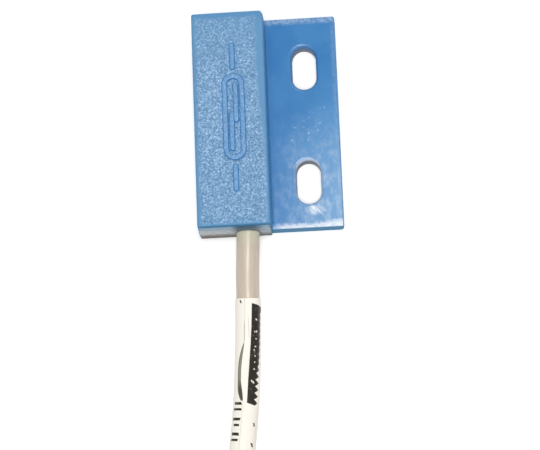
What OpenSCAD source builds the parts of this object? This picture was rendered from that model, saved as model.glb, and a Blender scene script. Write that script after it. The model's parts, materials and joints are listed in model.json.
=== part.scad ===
// Flange-mount reed sensor: a moulded housing with a slotted flange, potted round a glass reed
// capsule, with a two-core cable. Lengths are in millimetres.
// +Z is up from the mounting face, +Y points to the closed end and +X to the free edge of the flange.
// The origin lies on the mounting face, midway between the body's upper edge and the flange's free edge.

/* [Housing] */
// Length of the housing, along the reed
body_l = 28.5; // [27:0.5:36]
// Width of the raised body, at its top
body_w = 9.4; // [8.8:0.1:12]
// Height of the raised body
body_h = 6.35; // [6:0.05:8]
// Draft of the body's outer side: how far its foot stands out past its upper edge
draft = 0.35; // [0.1:0.05:0.6]
// Wall round the reed cavity
wall = 0.9; // [0.6:0.05:1.1]
// Wall at the closed end
end_wall = 1.0; // [0.6:0.1:1.5]
// Rounding of the body's upper edges
edge_r = 0.35; // [0.2:0.05:0.6]
// Rounding of the upper edge over the cable end
mouth_r = 0.2; // [0.1:0.05:0.4]
// Rounding of the body's upright corners
corner_r = 0.4; // [0.2:0.05:0.8]
// Rounding of the upright corner at the closed end, beside the flange
step_corner_r = 0.8; // [0.2:0.05:1.2]
// Rounding of the cavity's long inner edges
cavity_r = 0.3; // [0.1:0.05:0.6]

/* [Flange] */
// Width of the flange beside the body
flange_w = 9.2; // [8:0.1:12]
// Thickness of the flange
flange_t = 2.15; // [1.6:0.05:3]
// Width of the rolled border on the flange's free edges
border_w = 0.9; // [0.4:0.05:1.2]
// Drop of the rolled border
border_drop = 0.2; // [0.05:0.01:0.3]
// Rounding of the flange's rim
rim_r = 0.25; // [0.1:0.05:0.4]
// Rounding of the flange's free corners, in plan
flange_corner_r = 0.4; // [0.3:0.1:1.5]
// Fillet between body and flange
foot_r = 0.35; // [0.15:0.05:0.8]

/* [Slots] */
// Width of a mounting slot
slot_w = 3.2; // [2.6:0.1:3.8]
// Length of a mounting slot
slot_l = 5.75; // [4.5:0.25:7]
// Distance between the slots' centres
slot_pitch = 15.4; // [13:0.1:18]
// Distance from the slots' line to the flange's free edge
slot_edge = 4.3; // [3.4:0.1:5]
// Offset of the slot pair from the middle of the housing, towards the cable
slot_shift = 0.4; // [0:0.1:1]
// Rounding of the slots' upper edge
lip_r = 0.45; // [0.1:0.05:0.6]

/* [Reed capsule] */
// Outside diameter of the glass
glass_d = 2.2; // [1.8:0.1:2.6]
// Length of the glass
glass_l = 13; // [10:0.5:14]
// Wall of the glass tube
glass_wall = 0.3; // [0.2:0.05:0.35]
// Length of the glass seal at each end
seal_l = 1.6; // [1:0.1:2]
// Rounding of the glass ends
glass_end_r = 0.7; // [0.3:0.1:0.8]
// Diameter of the reed wires
lead_d = 0.5; // [0.4:0.05:0.6]
// Width of a reed blade
blade_w = 1.2; // [0.8:0.05:1.3]
// Thickness of a reed blade
blade_t = 0.22; // [0.15:0.01:0.3]
// Overlap of the two blades
blade_overlap = 0.9; // [0.5:0.1:1.5]
// Gap between the open contacts
contact_gap = 0.12; // [0.08:0.01:0.2]
// Clearance at the root of each blade, where it flexes
root_gap = 0.02; // [0.01:0.01:0.05]
// Resin between the glass and the cavity wall
reed_clear = 0.4; // [0.2:0.05:0.8]

/* [Cable] */
// Diameter of the cable
cable_d = 3.0; // [2.7:0.1:3.2]
// Distance of the cable from the body's outer side
cable_in = 6.2; // [5.4:0.1:6.6]
// Height of the cable over the mounting face, where it leaves the resin
cable_z = 2.7; // [2.6:0.05:3.2]
// Depth of the jacket in the resin
jacket_depth = 2.4; // [1.5:0.1:2.6]
// Diameter of an insulated core
core_d = 1.1; // [0.9:0.05:1.2]
// Diameter of a core's strands
strand_d = 0.5; // [0.4:0.05:0.6]
// Gap between the two cores
core_gap = 0.1; // [0.05:0.05:0.2]
// Clearance between the blue core and the glass
core_clear = 0.25; // [0.1:0.05:0.4]
// Height of the resin's dome over the cable end
dome_h = 0.35; // [0.35:0.05:0.6]
// Thickness of the resin at the dome's edge
dome_edge = 0.3; // [0.05:0.01:0.32]
// Distance of the dome from the body's outline
dome_inset = 0.2; // [0.1:0.05:0.4]

/* [Solder joints] */
// Length over which a reed wire and a core lie side by side
lap_l = 1.6; // [1.4:0.1:2]
// Diameter of a solder joint
solder_d = 1.24; // [1.1:0.02:1.3]
// Film of solder between a reed wire and a core's strands
solder_film = 0.08; // [0.04:0.01:0.12]
// Bare reed wire between a joint and the glass
stub_l = 0.9; // [0.5:0.1:1.2]
// Length of the bend that brings the brown core to the near joint
brown_bend_l = 3.4; // [3:0.1:4]
// Length of the bend that brings the blue core beside the glass
blue_bend_l = 5; // [4:0.1:6]
// Length of the bend that brings the blue core to the far joint
blue_return_l = 2.2; // [1.8:0.1:2.6]
// Straight length of a core before and after its bends
core_lead = 0.3; // [0.2:0.1:0.5]

/* [Label and stowed cable] */
// Thickness of the label's wraps
label_t = 0.2; // [0.1:0.02:0.2]
// Clearance between label and jacket
label_clear = 0.02; // [0.01:0.01:0.05]
// Radius of the hank's folds, at the middle of the cable
fold_r = 9; // [8:0.5:12]
// Length of the hank's straight runs
run_l = 42; // [36:1:48]
// Insulated length of each stripped core
tail_l = 13; // [8:1:14]
// Bared length of each stripped core
tip_l = 5; // [3:1:6]
// Thickness of the tie
tie_t = 0.25; // [0.15:0.05:0.25]
// Width of the tie
tie_w = 3.5; // [2:0.5:6]
// Clearance between tie and cable
tie_clear = 0.05; // [0.02:0.01:0.1]
// Length of the tie's twisted end
twist_l = 7; // [4:1:10]
// Diameter of the tie's twisted end
twist_d = 1.0; // [0.6:0.1:1.4]

/* [Hidden] */
$fn = 48;
// Overshoot of a cutting shape past the face that it opens
over = 0.5;

// Housing: x0 is the upper edge of the body's outer side, foot_x its foot, x1 the step to the flange
// and x2 the flange's free edge
x0 = -(body_w + flange_w) / 2;
foot_x = x0 - draft;
lean = atan(draft / body_h);
x1 = x0 + body_w;
x2 = x1 + flange_w;
far_y = (body_l + dome_h) / 2;
near_y = far_y - body_l;
cavity_end_y = far_y - end_wall;
slot_x = x2 - slot_edge;
slot_mid_y = (near_y + far_y) / 2 - slot_shift;

// Reed, along +Y at reed_x and reed_z
glass_r = glass_d / 2;
lead_r = lead_d / 2;
core_r = core_d / 2;
strand_r = strand_d / 2;
cable_r = cable_d / 2;
reed_rise = (contact_gap + blade_t) / 2;
reed_x = x0 + wall + reed_clear + glass_r;
reed_z = cable_z + reed_rise;
near_z = reed_z - reed_rise;
far_z = reed_z + reed_rise;
lap_x = reed_x + lead_r + solder_film + strand_r;
jacket_y = near_y + jacket_depth;
near_lap_y = jacket_y + brown_bend_l;
glass_y = near_lap_y + lap_l + stub_l;
glass_end_y = glass_y + glass_l;
far_lap_y = glass_end_y + blue_return_l;
near_root_y = glass_y + seal_l;
far_root_y = glass_end_y - seal_l;
blade_l = (far_root_y - near_root_y + blade_overlap) / 2 - root_gap;
shoulder_l = 1.0;
tip_r = 0.15;

// Cable: the cores leave the jacket side by side
cable_x = x0 + cable_in;
core_apart = core_r + core_gap / 2;
brown_x = cable_x - core_apart;
blue_x = cable_x + core_apart;
blue_run_x = reed_x + glass_r + core_clear + core_r;
tube_sides = 8;
bend_steps = 8;
// Steps of the last bend over which a core is bared
bare_steps = 4;
lead_in = [0, core_lead, 0];
brown_start = [brown_x, jacket_y, near_z];
brown_path = concat(
    [brown_start],
    sidestep(brown_start + lead_in, brown_x - lap_x, brown_bend_l - 2 * core_lead),
    [[lap_x, near_lap_y, near_z]]);
blue_start = [blue_x, jacket_y, far_z];
blue_path = concat(
    [blue_start],
    sidestep(blue_start + lead_in, blue_x - blue_run_x, blue_bend_l),
    sidestep([blue_run_x, glass_end_y, far_z], blue_run_x - lap_x, blue_return_l - core_lead),
    [[lap_x, far_lap_y, far_z]]);
brown_last = len(brown_path) - 1;
blue_last = len(blue_path) - 1;

// Route of the free cable: steps from the point where it leaves the housing, chosen by hand
route_steps = [
    [-0.10, -2.5, 0], [-0.25, -5, -0.2], [-0.33, -7, -0.5], [-0.38, -8.6, -0.7], [-0.45, -11.5, -0.85],
    [-0.55, -14, -0.9], [-0.72, -17, -0.9], [-0.9, -20, -0.9], [-1.17, -23, -0.9], [-1.52, -26, -0.9],
    [-1.85, -28.5, -0.9], [-2.1, -30.6, -0.9], [-2.4, -33, -0.9], [-2.65, -36, -0.9],
    [-2.75, -38.5, -0.9], [-2.75, -41, -0.9]
];
// Places in the route where the label begins and ends
label_from = 5;
label_to = 13;
cable_exit = [cable_x, near_y, cable_z];
route = concat([cable_exit + [0, jacket_depth, 0], cable_exit], [for (s = route_steps) cable_exit + s]);

// Hank: runs along Y, with the free cable running into its near run
hank_z = tie_t + tie_clear;
hank_near_x = route[len(route) - 1].x;
hank_x = hank_near_x + fold_r;
hank_far_x = hank_x + fold_r;
hank_top_y = route[len(route) - 1].y;
hank_low_y = hank_top_y - run_l;
tail_end_y = hank_top_y;
tail_y = tail_end_y - tip_l - tail_l;
tail_z = hank_z + cable_d + cable_r - core_apart;
tie_y = (hank_top_y + hank_low_y) / 2;

housing_blue = [0.30, 0.52, 0.76];
resin_grey = [0.66, 0.69, 0.71];
glass_green = [0.62, 0.80, 0.72, 0.5];
reed_silver = [0.78, 0.78, 0.76];
solder_silver = [0.70, 0.71, 0.72];
copper = [0.80, 0.50, 0.32];
tinned = [0.80, 0.79, 0.76];
core_brown = [0.38, 0.22, 0.13];
core_blue = [0.16, 0.34, 0.66];
cable_beige = [0.77, 0.72, 0.66];
label_white = [0.98, 0.96, 0.92];
tie_black = [0.12, 0.12, 0.12];

// Corner of a flat outline, rounded to r. The inside lies towards +X and +Y before the turn.
module rounded_corner(at, turn, r) {
    translate(at)
        rotate(turn)
            difference() {
                translate([-over, -over])
                    square(r + over);
                translate([r, r])
                    circle(r);
            }
}

// Rectangle from low to high, with a radius for each corner, counted from low and turning left
module soft_rectangle(low, high, radii) {
    corners = [low, [high.x, low.y], high, [low.x, high.y]];
    difference() {
        translate(low)
            square(high - low);
        for (i = [0 : 3])
            if (radii[i] > 0)
                rounded_corner(corners[i], 90 * i, radii[i]);
    }
}

// Section in X and Z, drawn out along Y from one place to another
module along_y(from, to) {
    translate([0, to, 0])
        rotate([90, 0, 0])
            linear_extrude(to - from)
                children();
}

// Section in Y and Z, drawn out along X from one place to another
module along_x(from, to) {
    translate([from, 0, 0])
        rotate([90, 0, 90])
            linear_extrude(to - from)
                children();
}

// Round bar along Y
module bar_y(x, z, r, from, to) {
    translate([x, from, z])
        rotate([-90, 0, 0])
            cylinder(r = r, h = to - from);
}

// Turned shape along Y: its outline has the radius across and the length upwards
module turned_y(x, y, z) {
    translate([x, y, z])
        rotate([-90, 0, 0])
            rotate_extrude()
                children();
}

// Points of a path that starts along +Y and sidesteps towards -X over a given length
function sidestep(from, shift, run) =
    [for (i = [0 : bend_steps])
        let (u = i / bend_steps)
        from + [-shift * (1 - cos(180 * u)) / 2, run * u, 0]];

function unit(v) = v / norm(v);

// Direction of a path at one of its points
function heading(points, i) = unit(points[min(i + 1, len(points) - 1)] - points[max(i - 1, 0)]);

// Ring of points round a path at one of its points
function ring(points, i, r) =
    let (ahead = heading(points, i),
         aside = unit(cross(ahead, [0, 0, 1])),
         upright = cross(aside, ahead))
    [for (k = [0 : tube_sides - 1])
        let (a = 360 * k / tube_sides)
        points[i] + r * (cos(a) * aside + sin(a) * upright)];

function rings(points, from, to, r) = [for (i = [from : to]) each ring(points, i, r)];

// Triangles of the wall between successive rings, of which the first starts at point number first
function wall_faces(count, first, inward) =
    [for (i = [0 : count - 2], k = [0 : tube_sides - 1])
        let (a = first + i * tube_sides + k,
             b = first + i * tube_sides + (k + 1) % tube_sides,
             c = a + tube_sides,
             d = b + tube_sides)
        each (inward ? [[a, d, b], [a, c, d]] : [[a, b, d], [a, d, c]])];

// Round bar swept along a stretch of a path
module tube(points, from, to, r) {
    count = to - from + 1;
    start = [for (k = [tube_sides - 1 : -1 : 0]) k];
    end = [for (k = [0 : tube_sides - 1]) (count - 1) * tube_sides + k];
    polyhedron(rings(points, from, to, r), concat([start, end], wall_faces(count, 0, false)));
}

// Hollow tube swept along a stretch of a path
module sleeve(points, from, to, outer_r, inner_r) {
    count = to - from + 1;
    inner = count * tube_sides;
    last = (count - 1) * tube_sides;
    ends = [for (k = [0 : tube_sides - 1])
        let (n = (k + 1) % tube_sides)
        each [[k, inner + n, n], [k, inner + k, inner + n],
              [last + k, last + n, inner + last + n], [last + k, inner + last + n, inner + last + k]]];
    polyhedron(
        concat(rings(points, from, to, outer_r), rings(points, from, to, inner_r)),
        concat(ends, wall_faces(count, 0, false), wall_faces(count, inner, true)));
}

// Housing

// Section past the body's leaning outer side, which inset moves inwards
module past_side(inset) {
    translate([foot_x + inset / cos(lean), 0])
        rotate(-lean)
            translate([-body_w, -over])
                square([body_w, body_h + 2 * over]);
}

// Corner cutter between the body's leaning side and its top, rounded to edge_r
module side_edge() {
    slope = 90 + lean;
    reach = edge_r / tan(slope / 2);
    centre = [x0 + reach, body_h - edge_r];
    difference() {
        polygon([
            [x0 - over, body_h + over],
            [centre.x, body_h + over],
            centre,
            centre + (edge_r + over) * [-cos(lean), sin(lean)]]);
        translate(centre)
            circle(edge_r);
    }
}

module body_section() {
    difference() {
        soft_rectangle([foot_x, 0], [x1, body_h], [0, 0, edge_r, 0]);
        past_side(0);
        side_edge();
    }
}

// Cutter that rounds an upright corner of the leaning side to r
module leaning_corner(y, turn, r) {
    translate([foot_x, 0, 0])
        rotate([0, lean, 0])
            translate([0, 0, -over])
                linear_extrude(body_h + 2 * over)
                    rounded_corner([0, y], turn, r);
}

module body_block() {
    difference() {
        intersection() {
            along_y(near_y, far_y)
                body_section();
            along_x(foot_x, x1)
                soft_rectangle([near_y, 0], [far_y, body_h], [0, 0, edge_r, mouth_r]);
            linear_extrude(body_h)
                soft_rectangle([foot_x, near_y], [x1, far_y], [0, 0, step_corner_r, 0]);
        }
        leaning_corner(near_y, 0, corner_r / 2);
        leaning_corner(far_y, 270, corner_r);
    }
}

// Slope of the flange's border at a distance from the flat
function border_slope(along) = atan(2 * border_drop * along / (border_w * border_w));

// Points along the flange's rolled border and round rim, from the flat outwards.
// edge is the place of the free edge and side is +1 or -1 for the way it faces.
function border_points(edge, side) =
    let (steps = 4,
         slope = border_slope(border_w - rim_r * (1 - sin(border_slope(border_w)))),
         reach = border_w - rim_r * (1 - sin(slope)),
         centre_z = flange_t - border_drop * pow(reach / border_w, 2) - rim_r * cos(slope))
    concat(
        [for (i = [0 : steps - 1])
            let (along = reach * i / steps)
            [edge - side * (border_w - along), flange_t - border_drop * pow(along / border_w, 2)]],
        [for (i = [0 : steps])
            let (a = (90 - slope) * (1 - i / steps))
            [edge - side * rim_r * (1 - cos(a)), centre_z + rim_r * sin(a)]]);

function backwards(list) = [for (i = [len(list) - 1 : -1 : 0]) list[i]];

module flange_section() {
    inside = (x0 + x1) / 2;
    polygon(concat([[x2, 0], [inside, 0], [inside, flange_t]], border_points(x2, 1)));
    difference() {
        translate([x1 - over, flange_t - over])
            square(foot_r + over);
        translate([x1 + foot_r, flange_t + foot_r])
            circle(foot_r);
    }
}

module flange_side_section() {
    top = flange_t + foot_r;
    polygon(concat(
        [[far_y, 0], [near_y, 0]],
        backwards(border_points(near_y, -1)),
        [[near_y + border_w + foot_r, top], [far_y - border_w - foot_r, top]],
        border_points(far_y, 1)));
}

module flange_plate() {
    intersection() {
        along_y(near_y, far_y)
            flange_section();
        along_x(x0, x2)
            flange_side_section();
        linear_extrude(body_h)
            soft_rectangle([x0, near_y], [x2, far_y], [0, flange_corner_r, flange_corner_r, 0]);
    }
}

// Part of the slot's rounded lip that lies past the straight wall, with the wall at the origin
module lip_section() {
    difference() {
        square([lip_r, lip_r + over]);
        translate([lip_r, 0])
            circle(lip_r);
        translate([lip_r, 0])
            square([over, lip_r + over]);
    }
}

module slot_cut() {
    straight = slot_l - slot_w;
    for (end = [-1, 1])
        translate([0, end * straight / 2, 0]) {
            translate([0, 0, -over])
                cylinder(d = slot_w, h = flange_t + 2 * over);
            translate([0, 0, flange_t - lip_r])
                rotate_extrude()
                    translate([slot_w / 2, 0])
                        lip_section();
        }
    translate([-slot_w / 2, -straight / 2, -over])
        cube([slot_w, straight, flange_t + 2 * over]);
    for (side = [0, 180])
        rotate(side)
            translate([slot_w / 2, 0, flange_t - lip_r])
                along_y(-straight / 2, straight / 2)
                    lip_section();
}

module cavity(mouth_y) {
    along_y(mouth_y, cavity_end_y)
        soft_rectangle([x0 + wall, wall], [x1 - wall, body_h - wall],
                       [cavity_r, cavity_r, cavity_r, cavity_r]);
}

module housing() {
    color(housing_blue)
        difference() {
            union() {
                body_block();
                flange_plate();
            }
            cavity(near_y - over);
            for (end = [-1, 1])
                translate([slot_x, slot_mid_y + end * slot_pitch / 2, 0])
                    slot_cut();
        }
}

// Resin

// Low dome that covers the cable end of the body
module resin_dome() {
    rise = dome_h - dome_edge;
    low = [foot_x + dome_inset, dome_inset];
    high = [x1 - dome_inset, body_h - wall];
    middle = (low + high) / 2;
    half = (high - low) / 2;
    across_r = (half.x * half.x + rise * rise) / (2 * rise);
    upright_r = (half.y * half.y + rise * rise) / (2 * rise);
    intersection() {
        along_y(near_y - dome_h, near_y)
            difference() {
                soft_rectangle(low, high, [corner_r, corner_r, corner_r, corner_r]);
                past_side(dome_inset);
            }
        translate([middle.x, near_y - dome_h + across_r, 0])
            cylinder(r = across_r, h = body_h);
        translate([foot_x, near_y - dome_h + upright_r, middle.y])
            rotate([0, 90, 0])
                cylinder(r = upright_r, h = x1 - foot_x);
    }
}

module potting() {
    color(resin_grey)
        difference() {
            union() {
                cavity(near_y);
                resin_dome();
            }
            cable_tube();
            tube(brown_path, 0, brown_last - bare_steps, core_r);
            tube(blue_path, 0, blue_last - bare_steps, core_r);
            tube(brown_path, 0, brown_last, strand_r);
            tube(blue_path, 0, blue_last, strand_r);
            strand_lap(near_lap_y, near_z);
            strand_lap(far_lap_y, far_z);
            near_wire();
            far_wire();
            solder_blob(near_lap_y, near_z);
            solder_blob(far_lap_y, far_z);
            glass_form();
        }
}

// Reed capsule

module glass_form() {
    turned_y(reed_x, glass_y, reed_z)
        soft_rectangle([0, 0], [glass_r, glass_l], [0, glass_end_r, glass_end_r, 0]);
}

module glass_capsule() {
    bore_r = glass_r - glass_wall;
    color(glass_green)
        difference() {
            glass_form();
            turned_y(reed_x, near_root_y, reed_z)
                soft_rectangle([0, 0], [bore_r, far_root_y - near_root_y], [0, glass_wall, glass_wall, 0]);
            near_wire();
            far_wire();
        }
}

module near_wire() {
    bar_y(reed_x, near_z, lead_r, near_lap_y, near_root_y);
}

module far_wire() {
    bar_y(reed_x, far_z, lead_r, far_root_y, far_lap_y + lap_l);
}

module near_reed_lead() {
    color(reed_silver)
        near_wire();
}

module far_reed_lead() {
    color(reed_silver)
        far_wire();
}

// Flat blade along +Y from its root at the origin: a neck as wide as the wire, shoulders and a round tip
module blade() {
    half = blade_w / 2;
    neck_l = shoulder_l / 2;
    translate([0, 0, -blade_t / 2])
        linear_extrude(blade_t) {
            translate([-lead_r, 0])
                square([lead_d, shoulder_l]);
            polygon([[-lead_r, neck_l], [lead_r, neck_l], [half, shoulder_l], [-half, shoulder_l]]);
            soft_rectangle([-half, shoulder_l], [half, blade_l], [0, 0, tip_r, tip_r]);
        }
}

module near_reed_blade() {
    color(reed_silver)
        translate([reed_x, near_root_y + root_gap, near_z])
            blade();
}

module far_reed_blade() {
    color(reed_silver)
        translate([reed_x, far_root_y - root_gap, far_z])
            rotate(180)
                blade();
}

// Solder joints and cores

module solder_blob(from, z) {
    r = solder_d / 2;
    middle_x = (reed_x + lap_x) / 2;
    bar_y(middle_x, z, r, from + r, from + lap_l - r);
    for (y = [from + r, from + lap_l - r])
        translate([middle_x, y, z])
            sphere(r);
}

module strand_lap(from, z) {
    bar_y(lap_x, z, strand_r, from, from + lap_l);
}

module near_solder_joint() {
    color(solder_silver)
        difference() {
            solder_blob(near_lap_y, near_z);
            near_wire();
            strand_lap(near_lap_y, near_z);
        }
}

module far_solder_joint() {
    color(solder_silver)
        difference() {
            solder_blob(far_lap_y, far_z);
            far_wire();
            strand_lap(far_lap_y, far_z);
        }
}

module brown_core_strands() {
    color(copper) {
        tube(brown_path, 0, brown_last, strand_r);
        strand_lap(near_lap_y, near_z);
    }
}

module blue_core_strands() {
    color(copper) {
        tube(blue_path, 0, blue_last, strand_r);
        strand_lap(far_lap_y, far_z);
    }
}

module brown_core_insulation() {
    color(core_brown)
        sleeve(brown_path, 0, brown_last - bare_steps, core_r, strand_r);
}

module blue_core_insulation() {
    color(core_blue)
        sleeve(blue_path, 0, blue_last - bare_steps, core_r, strand_r);
}

// Free cable

module cable_tube() {
    tube(route, 0, len(route) - 1, cable_r);
}

module cable_jacket() {
    color(cable_beige)
        cable_tube();
}

module label_sleeve() {
    inner_r = cable_r + label_clear;
    color(label_white)
        sleeve(route, label_from, label_to, inner_r + label_t, inner_r);
}

// Stowed cable

// Outline round the hank, at a given distance from the line between its folds' centres
module hank_outline(r) {
    for (y = [hank_low_y, hank_top_y])
        translate([hank_x, y])
            circle(r);
    translate([hank_x - r, hank_low_y])
        square([2 * r, run_l]);
}

// Two layers of cable. In the top fold the cable climbs from the far run's lower layer to the near run's
// upper one, over the free cable that comes in below, and the upper layer ends where the cores are stripped.
module cable_hank() {
    reach = fold_r + cable_d;
    color(cable_beige)
        translate([0, 0, hank_z])
            difference() {
                linear_extrude(2 * cable_d)
                    difference() {
                        hank_outline(fold_r + cable_r);
                        hank_outline(fold_r - cable_r);
                    }
                translate([hank_x, tail_y, cable_d])
                    cube([reach, run_l, cable_d + over]);
                translate([hank_x - cable_d - reach, hank_top_y, -over])
                    cube([reach, reach, cable_d + over]);
            }
}

module hank_tie() {
    low = [hank_near_x - cable_r - tie_clear, hank_z - tie_clear];
    high = [hank_near_x + cable_r + tie_clear, hank_z + 2 * cable_d + tie_clear];
    outer_r = tie_t + tie_clear;
    strap = [tie_t, tie_t];
    color(tie_black) {
        along_y(tie_y - tie_w / 2, tie_y + tie_w / 2)
            difference() {
                soft_rectangle(low - strap, high + strap, [outer_r, outer_r, outer_r, outer_r]);
                soft_rectangle(low, high, [tie_clear, tie_clear, tie_clear, tie_clear]);
            }
        bar_y(hank_near_x, high.y + twist_d / 2 + tie_t / 2, twist_d / 2,
              tie_y - tie_w / 2, tie_y - tie_w / 2 + twist_l);
    }
}

module tail(side, r, from, to) {
    bar_y(hank_far_x + side * core_apart, tail_z, r, from, to);
}

module tail_insulation(side) {
    difference() {
        tail(side, core_r, tail_y, tail_y + tail_l);
        tail(side, strand_r, tail_y - over, tail_y + tail_l + over);
    }
}

module brown_tail_insulation() {
    color(core_brown)
        tail_insulation(-1);
}

module blue_tail_insulation() {
    color(core_blue)
        tail_insulation(1);
}

module brown_tail_strands() {
    color(tinned)
        tail(-1, strand_r, tail_y, tail_end_y);
}

module blue_tail_strands() {
    color(tinned)
        tail(1, strand_r, tail_y, tail_end_y);
}

housing();
potting();
glass_capsule();
near_reed_lead();
far_reed_lead();
near_reed_blade();
far_reed_blade();
near_solder_joint();
far_solder_joint();
brown_core_strands();
blue_core_strands();
brown_core_insulation();
blue_core_insulation();
cable_jacket();
label_sleeve();
cable_hank();
hank_tie();
brown_tail_insulation();
blue_tail_insulation();
brown_tail_strands();
blue_tail_strands();
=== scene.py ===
"""Looks of a flange-mount reed sensor: finishes, cable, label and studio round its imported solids."""

import json
import logging
import math
from collections.abc import Callable, Iterator, Sequence
from contextlib import contextmanager
from dataclasses import dataclass, field
from enum import Enum, IntEnum

import bmesh
import bpy
from mathutils import Euler, Matrix, Vector


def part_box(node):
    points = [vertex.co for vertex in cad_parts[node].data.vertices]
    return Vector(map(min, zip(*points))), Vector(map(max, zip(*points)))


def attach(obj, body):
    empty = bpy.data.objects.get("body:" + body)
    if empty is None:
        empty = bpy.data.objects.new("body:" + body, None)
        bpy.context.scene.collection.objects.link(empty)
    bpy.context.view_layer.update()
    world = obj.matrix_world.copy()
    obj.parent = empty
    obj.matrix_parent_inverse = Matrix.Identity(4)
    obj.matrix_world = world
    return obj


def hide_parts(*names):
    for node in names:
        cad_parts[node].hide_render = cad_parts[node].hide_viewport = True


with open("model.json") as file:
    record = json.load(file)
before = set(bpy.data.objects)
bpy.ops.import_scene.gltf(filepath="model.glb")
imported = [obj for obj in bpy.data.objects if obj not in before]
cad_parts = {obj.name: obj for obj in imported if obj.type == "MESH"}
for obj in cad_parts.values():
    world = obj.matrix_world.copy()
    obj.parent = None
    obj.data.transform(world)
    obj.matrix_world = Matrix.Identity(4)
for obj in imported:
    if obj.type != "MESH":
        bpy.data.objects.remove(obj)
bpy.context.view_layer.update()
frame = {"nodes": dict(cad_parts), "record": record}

LOG = logging.getLogger("reed_sensor")
MM = 0.001
SENSOR = "sensor"
UP = Vector((0, 0, 1))
Colour = tuple[float, float, float]
WHITE: Colour = (1.0, 1.0, 1.0)
# Lengths in millimetres: how near two places count as one, and how near two vertices are merged
TOUCH = 1e-4
MERGE = 5e-4
# The screen's colour curve: a straight foot up to the knee, then a power
CURVE_KNEE = 0.04045
CURVE_FOOT = 12.92
CURVE_SHIFT = 0.055
CURVE_POWER = 2.4


def tint(code: str) -> Colour:
    """Turn a six-digit screen colour into a linear one.

    Args:
        code: The colour as "#rrggbb".

    Returns:
        Its linear red, green and blue.
    """
    linear = []
    for i in (1, 3, 5):
        share = int(code[i:i + 2], 16) / 255
        if share <= CURVE_KNEE:
            linear.append(share / CURVE_FOOT)
        else:
            linear.append(((share + CURVE_SHIFT) / (1 + CURVE_SHIFT)) ** CURVE_POWER)
    return tuple(linear)


def ease(value: float, low: float, high: float) -> float:
    """Ease from 0 at low to 1 at high.

    Args:
        value: The number to ease.
        low: Where the result is 0.
        high: Where the result is 1.

    Returns:
        The eased share.
    """
    share = min(1.0, max(0.0, (value - low) / (high - low)))
    return share * share * (3 - 2 * share)


class Channel:
    """One output of a shader node, which Python's operators work on."""

    def __init__(self, paint: "Paint", socket: bpy.types.NodeSocket) -> None:
        """Wrap a socket of a node tree."""
        self.paint = paint
        self.socket = socket

    def __add__(self, other: "Channel | float") -> "Channel":
        """Add."""
        return self.paint.math("ADD", self, other)

    __radd__ = __add__

    def __sub__(self, other: "Channel | float") -> "Channel":
        """Subtract."""
        return self.paint.math("SUBTRACT", self, other)

    def __rsub__(self, other: float) -> "Channel":
        """Subtract from a number."""
        return self.paint.math("SUBTRACT", other, self)

    def __mul__(self, other: "Channel | float") -> "Channel":
        """Multiply."""
        return self.paint.math("MULTIPLY", self, other)

    __rmul__ = __mul__

    def __truediv__(self, other: "Channel | float") -> "Channel":
        """Divide."""
        return self.paint.math("DIVIDE", self, other)

    def __rtruediv__(self, other: float) -> "Channel":
        """Divide a number."""
        return self.paint.math("DIVIDE", other, self)

    def __abs__(self) -> "Channel":
        """Take the absolute value."""
        return self.paint.math("ABSOLUTE", self)

    def __or__(self, other: "Channel | float") -> "Channel":
        """Take the larger of two masks."""
        return self.paint.math("MAXIMUM", self, other)

    def __and__(self, other: "Channel | float") -> "Channel":
        """Take the smaller of two masks."""
        return self.paint.math("MINIMUM", self, other)

    def sibling(self, output: str | int) -> "Channel":
        """Another output of the same node, by name or number."""
        return Channel(self.paint, self.socket.node.outputs[output])

    def rise(self, low: float, high: float) -> "Channel":
        """Ease from 0 at low to 1 at high, or down where low is the larger."""
        limits = {"Value": self, "From Min": low, "From Max": high}
        return self.paint.node("ShaderNodeMapRange", {"interpolation_type": "SMOOTHSTEP"}, limits)

    def within(self, low: float, high: float, soft: float) -> "Channel":
        """Mask that is 1 between low and high, with soft edges."""
        return self.rise(low - soft, low + soft) & self.rise(high + soft, high - soft)


class Ground(Enum):
    """What carries a node tree: its place in the file's data, and the node that ends the tree."""

    MATERIAL = ("materials", "ShaderNodeOutputMaterial")
    WORLD = ("worlds", "ShaderNodeOutputWorld")


class MixSocket(IntEnum):
    """Numbers of a Mix node's sockets when it blends colours."""

    SHARE = 0
    FIRST = 6
    SECOND = 7
    RESULT = 2


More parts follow.
